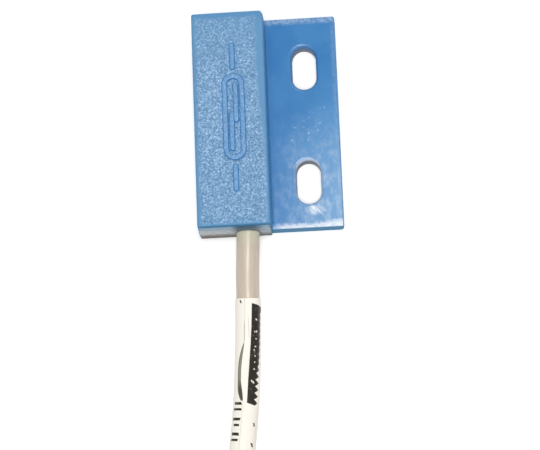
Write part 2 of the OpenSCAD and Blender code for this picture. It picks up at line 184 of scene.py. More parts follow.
class Paint:
    """Node tree of a material or a world, built up by expressions."""

    def __init__(self, name: str, ground: Ground = Ground.MATERIAL) -> None:
        """Start an empty tree.

        Args:
            name: Name of the material or world.
            ground: What carries the tree.
        """
        library, self.last_node = ground.value
        self.owner = getattr(bpy.data, library).new(name)
        self.owner.use_nodes = True
        self.tree = self.owner.node_tree
        self.tree.nodes.clear()

    def add(self, kind: str, settings: dict | None = None,
            inputs: dict | None = None) -> bpy.types.Node:
        """Add a node.

        Args:
            kind: The node's type.
            settings: Its settings, with a ramp's stops under "stops".
            inputs: Values or channels for its sockets, by name or number.

        Returns:
            The node.
        """
        made = self.tree.nodes.new(kind)
        for name, value in (settings or {}).items():
            if name == "stops":
                ramp = made.color_ramp
                while len(ramp.elements) < len(value):
                    ramp.elements.new(1.0)
                for element, (place, colour) in zip(ramp.elements, value):
                    element.position = place
                    element.color = (*colour, 1.0)
            else:
                setattr(made, name, value)
        for key, value in (inputs or {}).items():
            self.feed(made.inputs[key], value)
        return made

    def node(self, kind: str, settings: dict | None = None, inputs: dict | None = None,
             output: str | int = 0) -> Channel:
        """Add a node and take one of its outputs, by name or number."""
        return Channel(self, self.add(kind, settings, inputs).outputs[output])

    def feed(self, socket: bpy.types.NodeSocket,
             value: "Channel | float | Sequence[float]") -> None:
        """Link a channel to a socket, or set the socket's own value.

        Args:
            socket: The socket of a node in this tree.
            value: A channel, or the value to set.
        """
        if isinstance(value, Channel):
            self.tree.links.new(value.socket, socket)
        elif socket.type == "RGBA" and len(value) == 3:
            socket.default_value = (*value, 1.0)
        else:
            socket.default_value = value

    def math(self, operation: str, first: "Channel | float",
             second: "Channel | float" = 0.0) -> Channel:
        """Add a Math node on two values."""
        return self.node("ShaderNodeMath", {"operation": operation}, {0: first, 1: second})

    def place(self) -> Channel:
        """Object coordinates in millimetres."""
        at = self.node("ShaderNodeTexCoord", output="Object")
        return self.node("ShaderNodeVectorMath", {"operation": "SCALE"}, {0: at, "Scale": 1 / MM})

    def axes(self, vector: Channel) -> tuple[Channel, Channel, Channel]:
        """Split a vector into its three parts."""
        split = self.node("ShaderNodeSeparateXYZ", inputs={0: vector})
        return split, split.sibling(1), split.sibling(2)

    def noise(self, at: Channel, size: float, detail: float = 3.0,
              stretch: Sequence[float] | None = None, rough: float = 0.5) -> Channel:
        """Noise between 0 and 1.

        Args:
            at: The coordinates, in millimetres.
            size: Size of a grain, in millimetres.
            detail: Number of finer layers.
            stretch: Factors on the coordinates, where the grain isn't even.
            rough: Strength of the finer layers.

        Returns:
            The noise.
        """
        if stretch:
            at = self.node("ShaderNodeVectorMath", {"operation": "MULTIPLY"}, {0: at, 1: stretch})
        return self.node("ShaderNodeTexNoise", inputs={
            "Vector": at, "Scale": 1 / size, "Detail": detail, "Roughness": rough})

    def cells(self, at: Channel, size: float) -> Channel:
        """Distance to the nearest of scattered points, in cell sizes."""
        return self.node("ShaderNodeTexVoronoi", inputs={"Vector": at, "Scale": 1 / size})

    def mix(self, share: "Channel | float", first: "Channel | Colour",
            second: "Channel | Colour") -> Channel:
        """Blend from a first colour to a second one."""
        inputs = {MixSocket.SHARE: share, MixSocket.FIRST: first, MixSocket.SECOND: second}
        return self.node("ShaderNodeMix", {"data_type": "RGBA"}, inputs, MixSocket.RESULT)

    def bump(self, height: Channel, depth: float, base: Channel | None = None) -> Channel:
        """Normal of a relief.

        Args:
            height: Height from 0 to 1.
            depth: Height of the relief, in millimetres.
            base: Normal of a relief under this one.

        Returns:
            The normal.
        """
        inputs = {"Height": height, "Distance": depth * MM, "Strength": 1.0}
        if base:
            inputs["Normal"] = base
        return self.node("ShaderNodeBump", inputs=inputs)

    def surface(self, **sockets: "Channel | float | Colour") -> bpy.types.Material:
        """End the material in a Principled shader.

        Args:
            sockets: Values of its sockets, with _ for a space in a name.

        Returns:
            The material.
        """
        inputs = {name.replace("_", " "): value for name, value in sockets.items()}
        shader = self.node("ShaderNodeBsdfPrincipled", inputs=inputs)
        return self.end(shader)

    def end(self, shader: Channel) -> bpy.types.Material | bpy.types.World:
        """Send a shader to the tree's output, and hand over what carries the tree."""
        self.add(self.last_node, inputs={"Surface": shader})
        return self.owner


@dataclass(frozen=True)
class Fade:
    """Stretch over which a mask eases from 0 to 1. Where start is the larger, the mask falls."""

    start: float
    end: float

    def of(self, value: Channel) -> Channel:
        """Mask of a value."""
        return value.rise(self.start, self.end)


@dataclass(frozen=True)
class Strength:
    """Strength of a layer or a roughness: a base, and what a pattern adds to it."""

    base: float
    extra: float

    def of(self, pattern: Channel) -> Channel:
        """Strength where the pattern is known."""
        return pattern * self.extra + self.base


@dataclass(frozen=True)
class Grain:
    """Noise of one size, and the fade that makes a mask of it. Lengths are millimetres."""

    size: float
    fade: Fade = Fade(0.0, 1.0)
    detail: float = 3.0
    stretch: Sequence[float] | None = None
    rough: float = 0.5

    def raw(self, paint: Paint, at: Channel) -> Channel:
        """Noise without the fade."""
        return paint.noise(at, self.size, self.detail, self.stretch, self.rough)

    def of(self, paint: Paint, at: Channel) -> Channel:
        """Mask of the noise."""
        return self.fade.of(self.raw(paint, at))


class Pick(Enum):
    """Kinds of mesh elements that can be picked."""

    VERT = "verts"
    EDGE = "edges"
    FACE = "faces"


class Bench:
    """One mesh that operators work on, with what they act on picked in code. In millimetres."""

    def __init__(self, name: str, add: Callable[..., set[str]], **settings: object) -> None:
        """Start from a primitive.

        Args:
            name: Name of the piece.
            add: Operator that adds the primitive.
            settings: The operator's settings.
        """
        bpy.ops.object.select_all(action="DESELECT")
        add(**settings)
        self.piece = bpy.context.object
        self.piece.name = name
        self.piece.data.name = name

    def hold(self) -> None:
        """Select this piece alone."""
        bpy.ops.object.select_all(action="DESELECT")
        self.piece.select_set(True)
        bpy.context.view_layer.objects.active = self.piece

    @contextmanager
    def edit(self) -> Iterator[None]:
        """Edit mode on this piece alone, with everything picked."""
        self.hold()
        bpy.ops.object.mode_set(mode="EDIT")
        bpy.ops.mesh.select_all(action="SELECT")
        try:
            yield
        finally:
            bpy.ops.object.mode_set(mode="OBJECT")

    def pick(self, kind: Pick, test: Callable[[Vector], bool]) -> None:
        """Pick the elements whose centres pass a test, in edit mode.

        Args:
            kind: The kind of element.
            test: Takes an element's centre.
        """
        bpy.ops.mesh.select_mode(type=kind.name)
        bpy.ops.mesh.select_all(action="DESELECT")
        mesh = bmesh.from_edit_mesh(self.piece.data)
        for element in getattr(mesh, kind.value):
            corners = [element.co] if kind is Pick.VERT else [v.co for v in element.verts]
            centre = sum(corners, Vector()) / len(corners)
            element.select_set(test(centre))
        bmesh.update_edit_mesh(self.piece.data)

    def shape(self, move: Callable[[Vector], Vector]) -> None:
        """Move every vertex.

        Args:
            move: Takes a vertex's place and gives its new one.
        """
        for vertex in self.piece.data.vertices:
            vertex.co = move(vertex.co.copy())
        self.piece.data.update()

    def modify(self, kind: str, **settings: object) -> None:
        """Add a modifier, set it and apply it.

        Args:
            kind: The modifier's type.
            settings: Its settings.
        """
        self.hold()
        bpy.ops.object.modifier_add(type=kind)
        modifier = self.piece.modifiers[-1]
        for name, value in settings.items():
            setattr(modifier, name, value)
        bpy.ops.object.modifier_apply(modifier=modifier.name)

    def join(self, others: "Sequence[Bench]") -> None:
        """Take other meshes into this one.

        Args:
            others: The benches that hold them, which are used up.
        """
        self.hold()
        for other in others:
            other.piece.select_set(True)
        bpy.ops.object.join()

    def outwards(self) -> None:
        """Merge doubles and turn the faces outwards."""
        with self.edit():
            bpy.ops.mesh.remove_doubles(threshold=MERGE)
            bpy.ops.mesh.normals_make_consistent(inside=False)

    def smooth(self, angle: float = 35.0) -> None:
        """Shade smoothly, apart from edges sharper than an angle in degrees."""
        self.hold()
        bpy.ops.object.shade_smooth_by_angle(angle=math.radians(angle))

    def settle(self, material: bpy.types.Material, slot: str, *nodes: str) -> bpy.types.Object:
        """Bring the piece to the frame's metres, dress it and let it ride.

        Args:
            material: Its finish.
            slot: The record's slot for that finish.
            nodes: The solids that it stands for.

        Returns:
            The piece.
        """
        self.hold()
        bpy.ops.object.transform_apply(location=True, rotation=True, scale=True)
        self.piece.data.transform(Matrix.Scale(MM, 4))
        return dress(self.piece, material, slot, *nodes)


def dress(piece: bpy.types.Object, material: bpy.types.Material, slot: str,
          *nodes: str) -> bpy.types.Object:
    """Give a new piece its finish, its body and the solids that it stands for.

    Args:
        piece: The piece.
        material: Its finish.
        slot: The record's slot for that finish; not used.
        nodes: The solids that it stands for.

    Returns:
        The piece.
    """
    piece.data.materials.clear()
    piece.data.materials.append(material)
    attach(piece, SENSOR)
    if nodes:
        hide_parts(*nodes)
    LOG.info("%s made, for %s", piece.name, ", ".join(nodes) or "no solid")
    return piece


def coat(material: bpy.types.Material, *nodes: str) -> None:
    """Give solids that stay as they are a finish.

    Args:
        material: The finish.
        nodes: Names of the solids.
    """
    for name in nodes:
        slots = frame["nodes"][name].data.materials
        slots.clear()
        slots.append(material)
        LOG.info("%s dressed", name)


@dataclass(frozen=True)
class Lamp:
    """One round soft box that looks at the origin. Lengths are millimetres and power is watts."""

    name: str
    at: Sequence[float]
    size: float
    power: float

    def build(self) -> None:
        """Hang the soft box."""
        at = Vector(self.at) * MM
        turn = at.to_track_quat("Z", "Y").to_euler()
        bpy.ops.object.light_add(type="AREA", location=at, rotation=turn)
        lamp = bpy.context.object
        lamp.name = self.name
        lamp.data.shape = "DISK"
        lamp.data.size = self.size * MM
        lamp.data.energy = self.power


@dataclass(frozen=True)
class Studio:
    """Camera, floor and soft lights. Lengths are millimetres and turns are degrees."""

    camera_at: Sequence[float] = (14.3, -61.8, 229.3)
    camera_turn: Sequence[float] = (11.85, 4.13, -2.19)
    lens: float = 119.8
    sensor: float = 36.0
    near_limit: float = 10.0
    floor_size: float = 4000.0
    floor_grey: Colour = (0.84, 0.84, 0.84)
    floor_glow: float = 0.37
    sky: float = 0.41
    lamps: Sequence[Lamp] = (
        Lamp("top_box", (65.0, 5.0, 600.0), 120.0, 0.95),
        Lamp("front_box", (-25.0, -260.0, 580.0), 200.0, 1.1),
        Lamp("back_box", (170.0, 430.0, 560.0), 260.0, 0.6))

    def build(self) -> None:
        """Make the camera, floor, lamps and sky."""
        scene = bpy.context.scene
        scene.view_settings.view_transform = "Standard"
        turn = Euler([math.radians(a) for a in self.camera_turn])
        bpy.ops.object.camera_add(location=Vector(self.camera_at) * MM, rotation=turn)
        camera = bpy.context.object
        camera.data.lens = self.lens
        camera.data.sensor_width = self.sensor
        camera.data.clip_start = self.near_limit * MM
        scene.camera = camera
        self.lay_floor()
        for lamp in self.lamps:
            lamp.build()
        self.light_sky()

    def seen(self, paint: Paint) -> Channel:
        """Mask of the rays that show the floor or sky itself, straight, mirrored or through glass."""
        straight = paint.node("ShaderNodeLightPath", output="Is Camera Ray")
        return straight | straight.sibling("Is Glossy Ray") | straight.sibling("Is Transmission Ray")

    def lay_floor(self) -> None:
        """Make a pale floor that keeps the object's shadow."""
        bpy.ops.mesh.primitive_plane_add(size=self.floor_size * MM)
        floor = bpy.context.object
        floor.name = "floor"
        paint = Paint("pale_floor")
        matt = paint.node("ShaderNodeBsdfDiffuse", inputs={"Color": self.floor_grey})
        strength = self.seen(paint) * self.floor_glow
        glow = paint.node("ShaderNodeEmission", inputs={"Strength": strength})
        both = paint.node("ShaderNodeAddShader", inputs={0: matt, 1: glow})
        floor.data.materials.append(paint.end(both))

    def light_sky(self) -> None:
        """Light the scene evenly from all round, before a white backdrop."""
        paint = Paint("studio_sky", Ground.WORLD)
        strength = self.seen(paint) * (1.0 - self.sky) + self.sky
        backdrop = paint.node("ShaderNodeBackground", inputs={"Color": WHITE, "Strength": strength})
        bpy.context.scene.world = paint.end(backdrop)


@dataclass(frozen=True)
class Housing:
    """Sizes of the housing that its finish, its mark and the cable follow, in millimetres."""

    low: Vector
    high: Vector
    slots_at: Vector
    slot_pitch: float
    slot_r: float
    slot_l: float
    draft: float = 0.35
    body_w: float = 9.4

    @classmethod
    def packed(cls) -> "Housing":
        """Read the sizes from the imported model.

        Returns:
            The housing's sizes.
        """
        low, high = (Vector(corner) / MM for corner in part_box("housing"))
        slots = next(mount for mount in frame["record"]["mounts"] if mount["name"] == "slots")
        dims = slots["dims"]
        return cls(low, high, Vector(slots["pos_m"]) / MM, dims["spacing_y_mm"], dims["hole_r_mm"],
                   dims["slot_length_mm"])

    @property
    def edge_x(self) -> float:
        """Upper edge of the body's drafted outer side."""
        return self.low.x + self.draft

    @property
    def step_x(self) -> float:
        """Step from the body down to the flange."""
        return self.edge_x + self.body_w


class Spot:
    """Place and slope of a surface, as channels of one tree. Lengths are millimetres."""

    def __init__(self, paint: Paint) -> None:
        """Read the place from Object coordinates, and the slope from the normal.

        Args:
            paint: The tree.
        """
        self.paint = paint
        self.at = paint.place()
        self.x, self.y, self.z = paint.axes(self.at)
        _, self.tilt, self.upright = paint.axes(paint.node("ShaderNodeNewGeometry", output="Normal"))


@dataclass(frozen=True)
class Patch:
    """A soft oval on a face that looks up. Lengths are millimetres."""

    x: float
    y: float
    wide: float
    tall: float
    fade: Fade = Fade(1.0, 0.1)

    def mask(self, spot: Spot) -> Channel:
        """Mask of the oval.

        Args:
            spot: The place on the surface.

        Returns:
            The mask, which is 1 in the middle.
        """
        aside = (spot.x - self.x) / (self.wide / 2)
        along = (spot.y - self.y) / (self.tall / 2)
        return self.fade.of(aside * aside + along * along)


@dataclass(frozen=True)
class TopTexture:
    """Spark texture on the body's top, which keeps clear of the edges. Lengths are millimetres."""

    size: Housing
    # How far the texture stays from each edge, and how much its outline wanders
    outer_inset: Fade = Fade(0.3, 0.6)
    step_inset: Fade = Fade(0.1, 0.7)
    near_inset: Fade = Fade(0.1, 0.4)
    far_inset: Fade = Fade(0.5, 1.1)
    step_lean: float = 0.7
    step_lean_y: Fade = Fade(-7.0, 7.0)
    below_top: Fade = Fade(-0.15, -0.05)
    wander: Grain = Grain(1.2)
    wander_by: float = 0.6
    # The specks and their blues, from dark to light
    grain: Grain = Grain(0.23, Fade(0.28, 0.72), 2.0, rough=0.6)
    grain_share: float = 0.7
    dot_size: float = 0.4
    dot_fade: Fade = Fade(0.42, 0.12)
    dot_share: float = 0.3
    polish: Patch = Patch(-6.9, 0.0, 4.5, 20.0)
    polish_share: float = 0.06
    blues: Sequence[tuple[float, str]] = ((0.0, "#45759f"), (0.45, "#6f9cc4"), (0.95, "#b4d4f6"))
    far_fade: Fade = Fade(5.0, 13.5)
    far_fade_share: float = 0.3
    # The smooth margin round the texture, and the raised mark's top
    margin: str = "#5d94c0"
    far_margin: str = "#538ebe"
    far_margin_y: Fade = Fade(1.4, 0.7)
    mark_top: str = "#5f99cc"
    mark_rise: Fade = Fade(0.08, 0.16)
    mark_share: float = 0.5

    def area(self, spot: Spot) -> Channel:
        """Mask of the textured part.

        Args:
            spot: The place on the housing.

        Returns:
            The mask.
        """
        size = self.size
        shift = (self.wander.raw(spot.paint, spot.at) - 0.5) * self.wander_by
        x = spot.x + shift
        y = spot.y + shift
        lean = self.step_lean_y.of(spot.y) * self.step_lean
        sides = self.outer_inset.of(x - size.edge_x) & self.step_inset.of(size.step_x - x - lean)
        ends = self.near_inset.of(y - size.low.y) & self.far_inset.of(size.high.y - y)
        return sides & ends & self.below_top.of(spot.z - size.high.z)

    def colour(self, spot: Spot, area: Channel, grain: Channel) -> Channel:
        """Colour of the body's top.

        Args:
            spot: The place on the housing.
            area: Mask of the textured part.
            grain: Noise of the texture.

        Returns:
            The colour.
        """
        paint = spot.paint
        size = self.size
        speck = self.grain.fade.of(grain) * self.grain_share
        speck = speck + self.dot_fade.of(paint.cells(spot.at, self.dot_size)) * self.dot_share
        speck = speck + self.polish.mask(spot) * self.polish_share
        stops = [(place, tint(code)) for place, code in self.blues]
        sparks = paint.node("ShaderNodeValToRGB", {"stops": stops}, {0: speck})
        far = self.far_margin_y.of(size.high.y - spot.y)
        margin = paint.mix(far, tint(self.margin), tint(self.far_margin))
        clear = 1.0 - self.far_fade.of(spot.y) * self.far_fade_share
        colour = paint.mix(area * clear, margin, sparks)
        raised = self.mark_rise.of(spot.z - size.high.z) * self.mark_share
        return paint.mix(raised, colour, tint(self.mark_top))


@dataclass(frozen=True)
class FlangeWear:
    """Smooth blue of the flange's top, with painted light and reflection, scuffs, and borders with painted
    highlights and wear. Lengths are millimetres.
    """

    size: Housing
    border: float = 0.85
    # The blue, with painted light that pales it towards the free edge and the cable end, over its own
    # clouds
    flat: str = "#1f76b6"
    cloud: str = "#5f9fd4"
    clouds: Grain = Grain(4.0, Fade(0.35, 0.7))
    cloud_share: float = 0.2
    paler_x: Fade = Fade(1.0, 9.0)
    paler_y: Fade = Fade(11.0, -11.0)
    paler_share: float = 0.62
    # Painted reflection of a soft box over the near half
    haze: str = "#b3cde4"
    drift: Grain = Grain(0.9, Fade(0.4, 0.72), 5.0, (1.0, 0.7, 1.0), 0.65)
    hazy_x: Fade = Fade(-2.5, 6.5)
    hazy_y: Fade = Fade(3.5, -8.5)
    haze_strength: Strength = Strength(0.16, 0.5)
    # Scuffs between the slots, and a slanted smear under the near one
    # The worn tone also paints the highlights on the far border and the free edge
    worn: str = "#c9d9ea"
    # The chalk white also paints the near border's highlight and the glints and sheen on the slots' lips
    chalk: str = "#f2f8ff"
    scuffs: Sequence[Patch] = (
        Patch(5.9, -0.7, 4.6, 5.2), Patch(7.4, -9.8, 0.7, 0.7),
        Patch(7.2, 1.2, 2.2, 2.4), Patch(3.4, -1.6, 2.0, 3.0))
    specks: Grain = Grain(0.42, Fade(0.6, 0.72), 2.0)
    scuff_share: float = 0.5
    smear: Patch = Patch(5.7, -11.7, 3.4, 1.7)
    streaks: Grain = Grain(0.5, Fade(0.42, 0.68))
    streak_stretch: float = 0.25
    smear_strength: Strength = Strength(0.22, 0.75)
    # Borders, where a fade counts in border widths from the edge: painted highlights on the far border and
    # the free edge, and a pale strip beside the step
    mottle: Grain = Grain(0.5, Fade(0.3, 0.7))
    far_border: Fade = Fade(1.3, 0.5)
    far_strength: Strength = Strength(0.1, 0.42)
    rim_border: Fade = Fade(0.9, 0.4)
    rim_strength: Strength = Strength(0.06, 0.1)
    seam_from: float = 0.4
    seam_to: float = 0.65
    seam_soft: float = 0.2
    seam_y: Fade = Fade(-5.0, -11.0)
    seam_strength: Strength = Strength(0.03, 0.12)
    # The near border: worn to a chalky white, with a painted highlight over the wear
    chalk_border: Fade = Fade(1.1, 0.35)
    chalk_ragged: float = 0.3
    chalk_corner: Fade = Fade(5.5, 9.3)
    chalk_widens: float = 0.35
    chalk_shift: float = 0.12
    chalk_start: Fade = Fade(0.3, 1.5)
    chalk_length: Strength = Strength(0.45, 0.55)
    chalk_strength: Strength = Strength(0.66, 0.3)

    def colour(self, spot: Spot) -> Channel:
        """Colour of the flange's top.

        Args:
            spot: The place on the housing.

        Returns:
            The colour.
        """
        paint = spot.paint
        # Painted light: paler towards the free edge and the cable end, over the plastic's own clouds
        pale = self.paler_x.of(spot.x) * self.paler_y.of(spot.y) * self.paler_share
        pale = self.clouds.of(paint, spot.at) * self.cloud_share + pale
        colour = paint.mix(pale, tint(self.flat), tint(self.cloud))
        # Painted reflection of a soft box over the near half
        box_reflection_area = self.hazy_x.of(spot.x) * self.hazy_y.of(spot.y)
        drift = self.haze_strength.of(self.drift.of(paint, spot.at))
        colour = paint.mix(box_reflection_area * drift, colour, tint(self.haze))
        colour = paint.mix(self.scuffed(spot), colour, tint(self.worn))
        slanted = paint.node("ShaderNodeCombineXYZ", inputs={
            0: spot.x + spot.y, 1: (spot.x - spot.y) * self.streak_stretch})
        streaks = self.smear_strength.of(self.streaks.of(paint, slanted))
        colour = paint.mix(self.smear.mask(spot) * streaks, colour, tint(self.chalk))
        mottle = self.mottle.of(paint, spot.at)
        # Painted highlights on the far border and the free edge, and a pale strip beside the step
        colour = paint.mix(self.rubbed(spot, mottle), colour, tint(self.worn))
        # The near border: chalky wear with a painted highlight
        return paint.mix(self.chalked(spot, mottle), colour, tint(self.chalk))

    def scuffed(self, spot: Spot) -> Channel:
        """Mask of the scuffs.

        Args:
            spot: The place on the housing.

        Returns:
            The mask.
        """
        area, *others = (patch.mask(spot) for patch in self.scuffs)
        for other in others:
            area = area | other
        return area * self.specks.of(spot.paint, spot.at) * self.scuff_share

    def rubbed(self, spot: Spot, mottle: Channel) -> Channel:
        """Mask of the painted highlights on the far border and the free edge, and of the pale strip beside
        the step.

        Args:
            spot: The place on the housing.
            mottle: Pattern that breaks up the highlights.

        Returns:
            The mask.
        """
        size = self.size
        far = self.far_border.of((size.high.y - spot.y) / self.border) * self.far_strength.of(mottle)
        rim = self.rim_border.of((size.high.x - spot.x) / self.border) * self.rim_strength.of(mottle)
        beside = (spot.x - size.step_x).within(self.seam_from, self.seam_to, self.seam_soft)
        step_strip = beside * self.seam_y.of(spot.y) * self.seam_strength.of(mottle)
        return far | rim | step_strip

    def chalked(self, spot: Spot, mottle: Channel) -> Channel:
        """Mask of the near border, which is partly worn to a chalky white and partly a painted highlight.

        Args:
            spot: The place on the housing.
            mottle: Pattern of the wear and the highlight.

        Returns:
            The mask.
        """
        widened = self.chalk_corner.of(spot.x) * self.chalk_widens + self.chalk_shift
        away = spot.y - self.size.low.y + mottle * self.chalk_ragged - widened
        length = self.chalk_length.of(self.chalk_start.of(spot.x))
        return self.chalk_border.of(away / self.border) * length * self.chalk_strength.of(mottle)


@dataclass(frozen=True)
class MouldedBlue:
    """Blue moulded plastic: spark-textured on the body's top, smooth and worn on the flange, with painted
    light, shade and highlights.
    """

    size: Housing
    mark_at: Sequence[float] = (-4.1, 0.2)
    mark_half: Sequence[float] = (1.8, 10.6)
    mark_soft: float = 0.05
    # Painted shade on the raised mark's sloping edges
    flank: str = "#357bbb"
    top_edge: Fade = Fade(-0.3, -0.15)
    # Slopes: tilt is how far a face looks to +Y, and upright how far it looks up
    steep: Fade = Fade(0.93, 0.6)
    bent: Fade = Fade(0.999, 0.97)
    near_tilt: Fade = Fade(-0.5, -0.9)
    mark_steep: Fade = Fade(0.992, 0.93)
    # Sides: painted shade, in blues picked by slope, with the moulding's own drag streaks
    side: str = "#3a80b8"
    side_pale: str = "#5292c9"
    near_side: str = "#3e83ad"
    drag: Grain = Grain(0.6, Fade(0.35, 0.75), 4.0, (1.0, 1.0, 0.25), 0.6)
    drag_share: float = 0.7
    # Slots: painted glint and reflection on the lips, paler on the nearer one, and painted grey shade on
    # the walls, which reaches higher on the nearer one
    slot_wall: str = "#868c94"
    chalk: str = FlangeWear.chalk
    lip_gap: Fade = Fade(0.42, 0.21)
    nearer_y: Fade = Fade(2.0, -2.0)
    glint_tilt: Fade = Fade(-0.15, -0.45)
    glint_strength: Strength = Strength(0.05, 0.36)
    ring_strength: Strength = Strength(0.02, 0.1)
    wall_steep: Fade = Fade(0.6, 0.3)
    wall_z: Fade = Fade(1.4, 1.1)
    wall_rise: float = 0.5
    foot_z: Fade = Fade(0.01, 0.05)
    # Gloss and relief
    ripple: Grain = Grain(0.7)
    ripple_depth: float = 0.008
    grain_depth: float = 0.045
    roughness: Strength = Strength(0.18, 0.08)
    frosted: Fade = Fade(1.3, 1.0)
    frosted_share: float = 0.42
    side_dull: Fade = Fade(0.6, 0.2)
    side_share: float = 0.5
    texture_share: float = 0.24

    def slot_gap(self, spot: Spot) -> Channel:
        """Distance from the nearer slot's outline.

        Args:
            spot: The place on the housing.

        Returns:
            The distance, less than 0 inside a slot.
        """
        size = self.size
        aside = spot.x - size.slots_at.x
        gaps = []
        for side in (1, -1):
            middle = size.slots_at.y + side * size.slot_pitch / 2
            beyond = (abs(spot.y - middle) - (size.slot_l / 2 - size.slot_r)) | 0.0
            gaps.append(spot.paint.math("SQRT", aside * aside + beyond * beyond) - size.slot_r)
        return gaps[0] & gaps[1]

    def sides(self, spot: Spot, top: Channel) -> Channel:
        """Lay the painted shade of the sides and of the slots' walls, and the painted glints of the slots'
        lips, over the colour of the top faces.

        Args:
            spot: The place on the housing.
            top: Colour of the top faces.

        Returns:
            The colour.
        """
        paint = spot.paint
        lip = self.lip_gap.of(self.slot_gap(spot))
        nearer = self.nearer_y.of(spot.y)
        # Painted glint and reflection on the slots' lips
        glint = lip * self.glint_tilt.of(spot.tilt) * self.glint_strength.of(nearer)
        ring = paint.mix(glint + self.ring_strength.of(nearer), top, tint(self.chalk))
        # Painted shade of the sides and rounded edges, in blues picked by slope
        dragged = self.drag.of(paint, spot.at) * self.drag_share
        side = paint.mix(dragged, tint(self.side), tint(self.side_pale))
        side = paint.mix(self.near_tilt.of(spot.tilt), side, tint(self.near_side))
        turned = self.steep.of(spot.upright) | (lip * self.bent.of(spot.upright))
        colour = paint.mix(turned, top, paint.mix(lip, side, ring))
        # Painted grey shade on the slots' walls
        level = self.wall_z.of(spot.z - nearer * self.wall_rise) & self.foot_z.of(spot.z)
        wall = lip & self.wall_steep.of(spot.upright) & level
        return paint.mix(wall, colour, tint(self.slot_wall))

    def mark_flanks(self, spot: Spot) -> Channel:
        """Mask of the raised mark's sloping edges, which take a painted shade.

        Args:
            spot: The place on the housing.

        Returns:
            The mask.
        """
        half_x, half_y = self.mark_half
        aside = (spot.x - self.mark_at[0]).within(-half_x, half_x, self.mark_soft)
        along = (spot.y - self.mark_at[1]).within(-half_y, half_y, self.mark_soft)
        return aside & along & self.mark_steep.of(spot.upright)

    def material(self) -> bpy.types.Material:
        """Make the finish.

        Returns:
            The material.
        """
        paint = Paint("moulded_blue")
        spot = Spot(paint)
        texture = TopTexture(self.size)
        flange = FlangeWear(self.size)
        area = texture.area(spot)
        grain = texture.grain.raw(paint, spot.at)
        on_top = self.top_edge.of(spot.z - self.size.high.z)
        colour = paint.mix(on_top, flange.colour(spot), texture.colour(spot, area, grain))
        colour = self.sides(spot, colour)
        # Painted shade on the raised mark's sloping edges
        colour = paint.mix(self.mark_flanks(spot) & on_top, colour, tint(self.flank))
        ripple = self.ripple.raw(paint, spot.at)
        normal = paint.bump(grain * area, self.grain_depth, paint.bump(ripple, self.ripple_depth))
        frosted = self.frosted.of((spot.y - self.size.low.y) / flange.border) * self.frosted_share
        sides = self.side_dull.of(spot.upright) * self.side_share
        dull = frosted | sides | (area * self.texture_share)
        return paint.surface(Base_Color=colour, Roughness=dull + self.roughness.of(ripple), Normal=normal)


@dataclass(frozen=True)
class PottingResin:
    """Cured grey resin, slightly mottled, darker towards its lowest edge, with painted shade round where
    the cable enters.
    """

    cable_at: Vector
    cable_r: float
    pale: str = "#d0d6da"
    deep: str = "#b3bec3"
    # The upper colour is a painted bluish shade under the housing's top edge, also laid beside the flange
    upper: str = "#809eb4"
    grime: str = "#4a4236"
    hole: str = "#415a6e"
    mottle: Grain = Grain(0.9, Fade(0.35, 0.7), 4.0)
    upper_z: Fade = Fade(3.6, 6.2)
    upper_share: float = 0.9
    # Painted shade beside the flange, in the upper colour
    right_x: Fade = Fade(-2.5, -0.5)
    right_share: float = 0.6
    # Darker brown towards the lowest edge, reaching less high beside the flange
    grime_z: Fade = Fade(4.1, 2.1)
    grime_ragged: float = 1.4
    grime_drop: float = 0.7
    # Painted shade: the dark ring round the cable and the shade over it
    ring_gap: Fade = Fade(0.3, 0.08)
    over_aside: Fade = Fade(2.9, 1.2)
    over_ragged: float = 0.6
    over_above: Fade = Fade(0.0, 1.4)
    over_share: float = 0.9
    roughness: Strength = Strength(0.3, 0.2)
    gloss: float = 0.15
    depth: float = 0.06

    def material(self) -> bpy.types.Material:
        """Make the finish.

        Returns:
            The material.
        """
        paint = Paint("potting_resin")
        at = paint.place()
        x, _, z = paint.axes(at)
        mottle = self.mottle.raw(paint, at)
        colour = paint.mix(self.mottle.fade.of(mottle), tint(self.deep), tint(self.pale))
        # Painted bluish shade under the housing's top edge and beside the flange
        right = self.right_x.of(x)
        shaded = (self.upper_z.of(z) * self.upper_share) | (right * self.right_share)
        colour = paint.mix(shaded, colour, tint(self.upper))
        # Darker brown towards the lowest edge
        height = z + mottle * self.grime_ragged + right * self.grime_drop
        colour = paint.mix(self.grime_z.of(height), colour, tint(self.grime))
        # Painted shade round the cable's exit and over it
        aside = x - self.cable_at.x
        above = z - self.cable_at.z
        away = paint.math("SQRT", aside * aside + above * above) - self.cable_r
        over = self.over_aside.of(abs(aside) + mottle * self.over_ragged) * self.over_above.of(above)
        dark = self.ring_gap.of(away) | (over * self.over_share)
        colour = paint.mix(dark, colour, tint(self.hole))
        return paint.surface(Base_Color=colour, Roughness=self.roughness.of(mottle),
                             Specular_IOR_Level=self.gloss, Normal=paint.bump(mottle, self.depth))


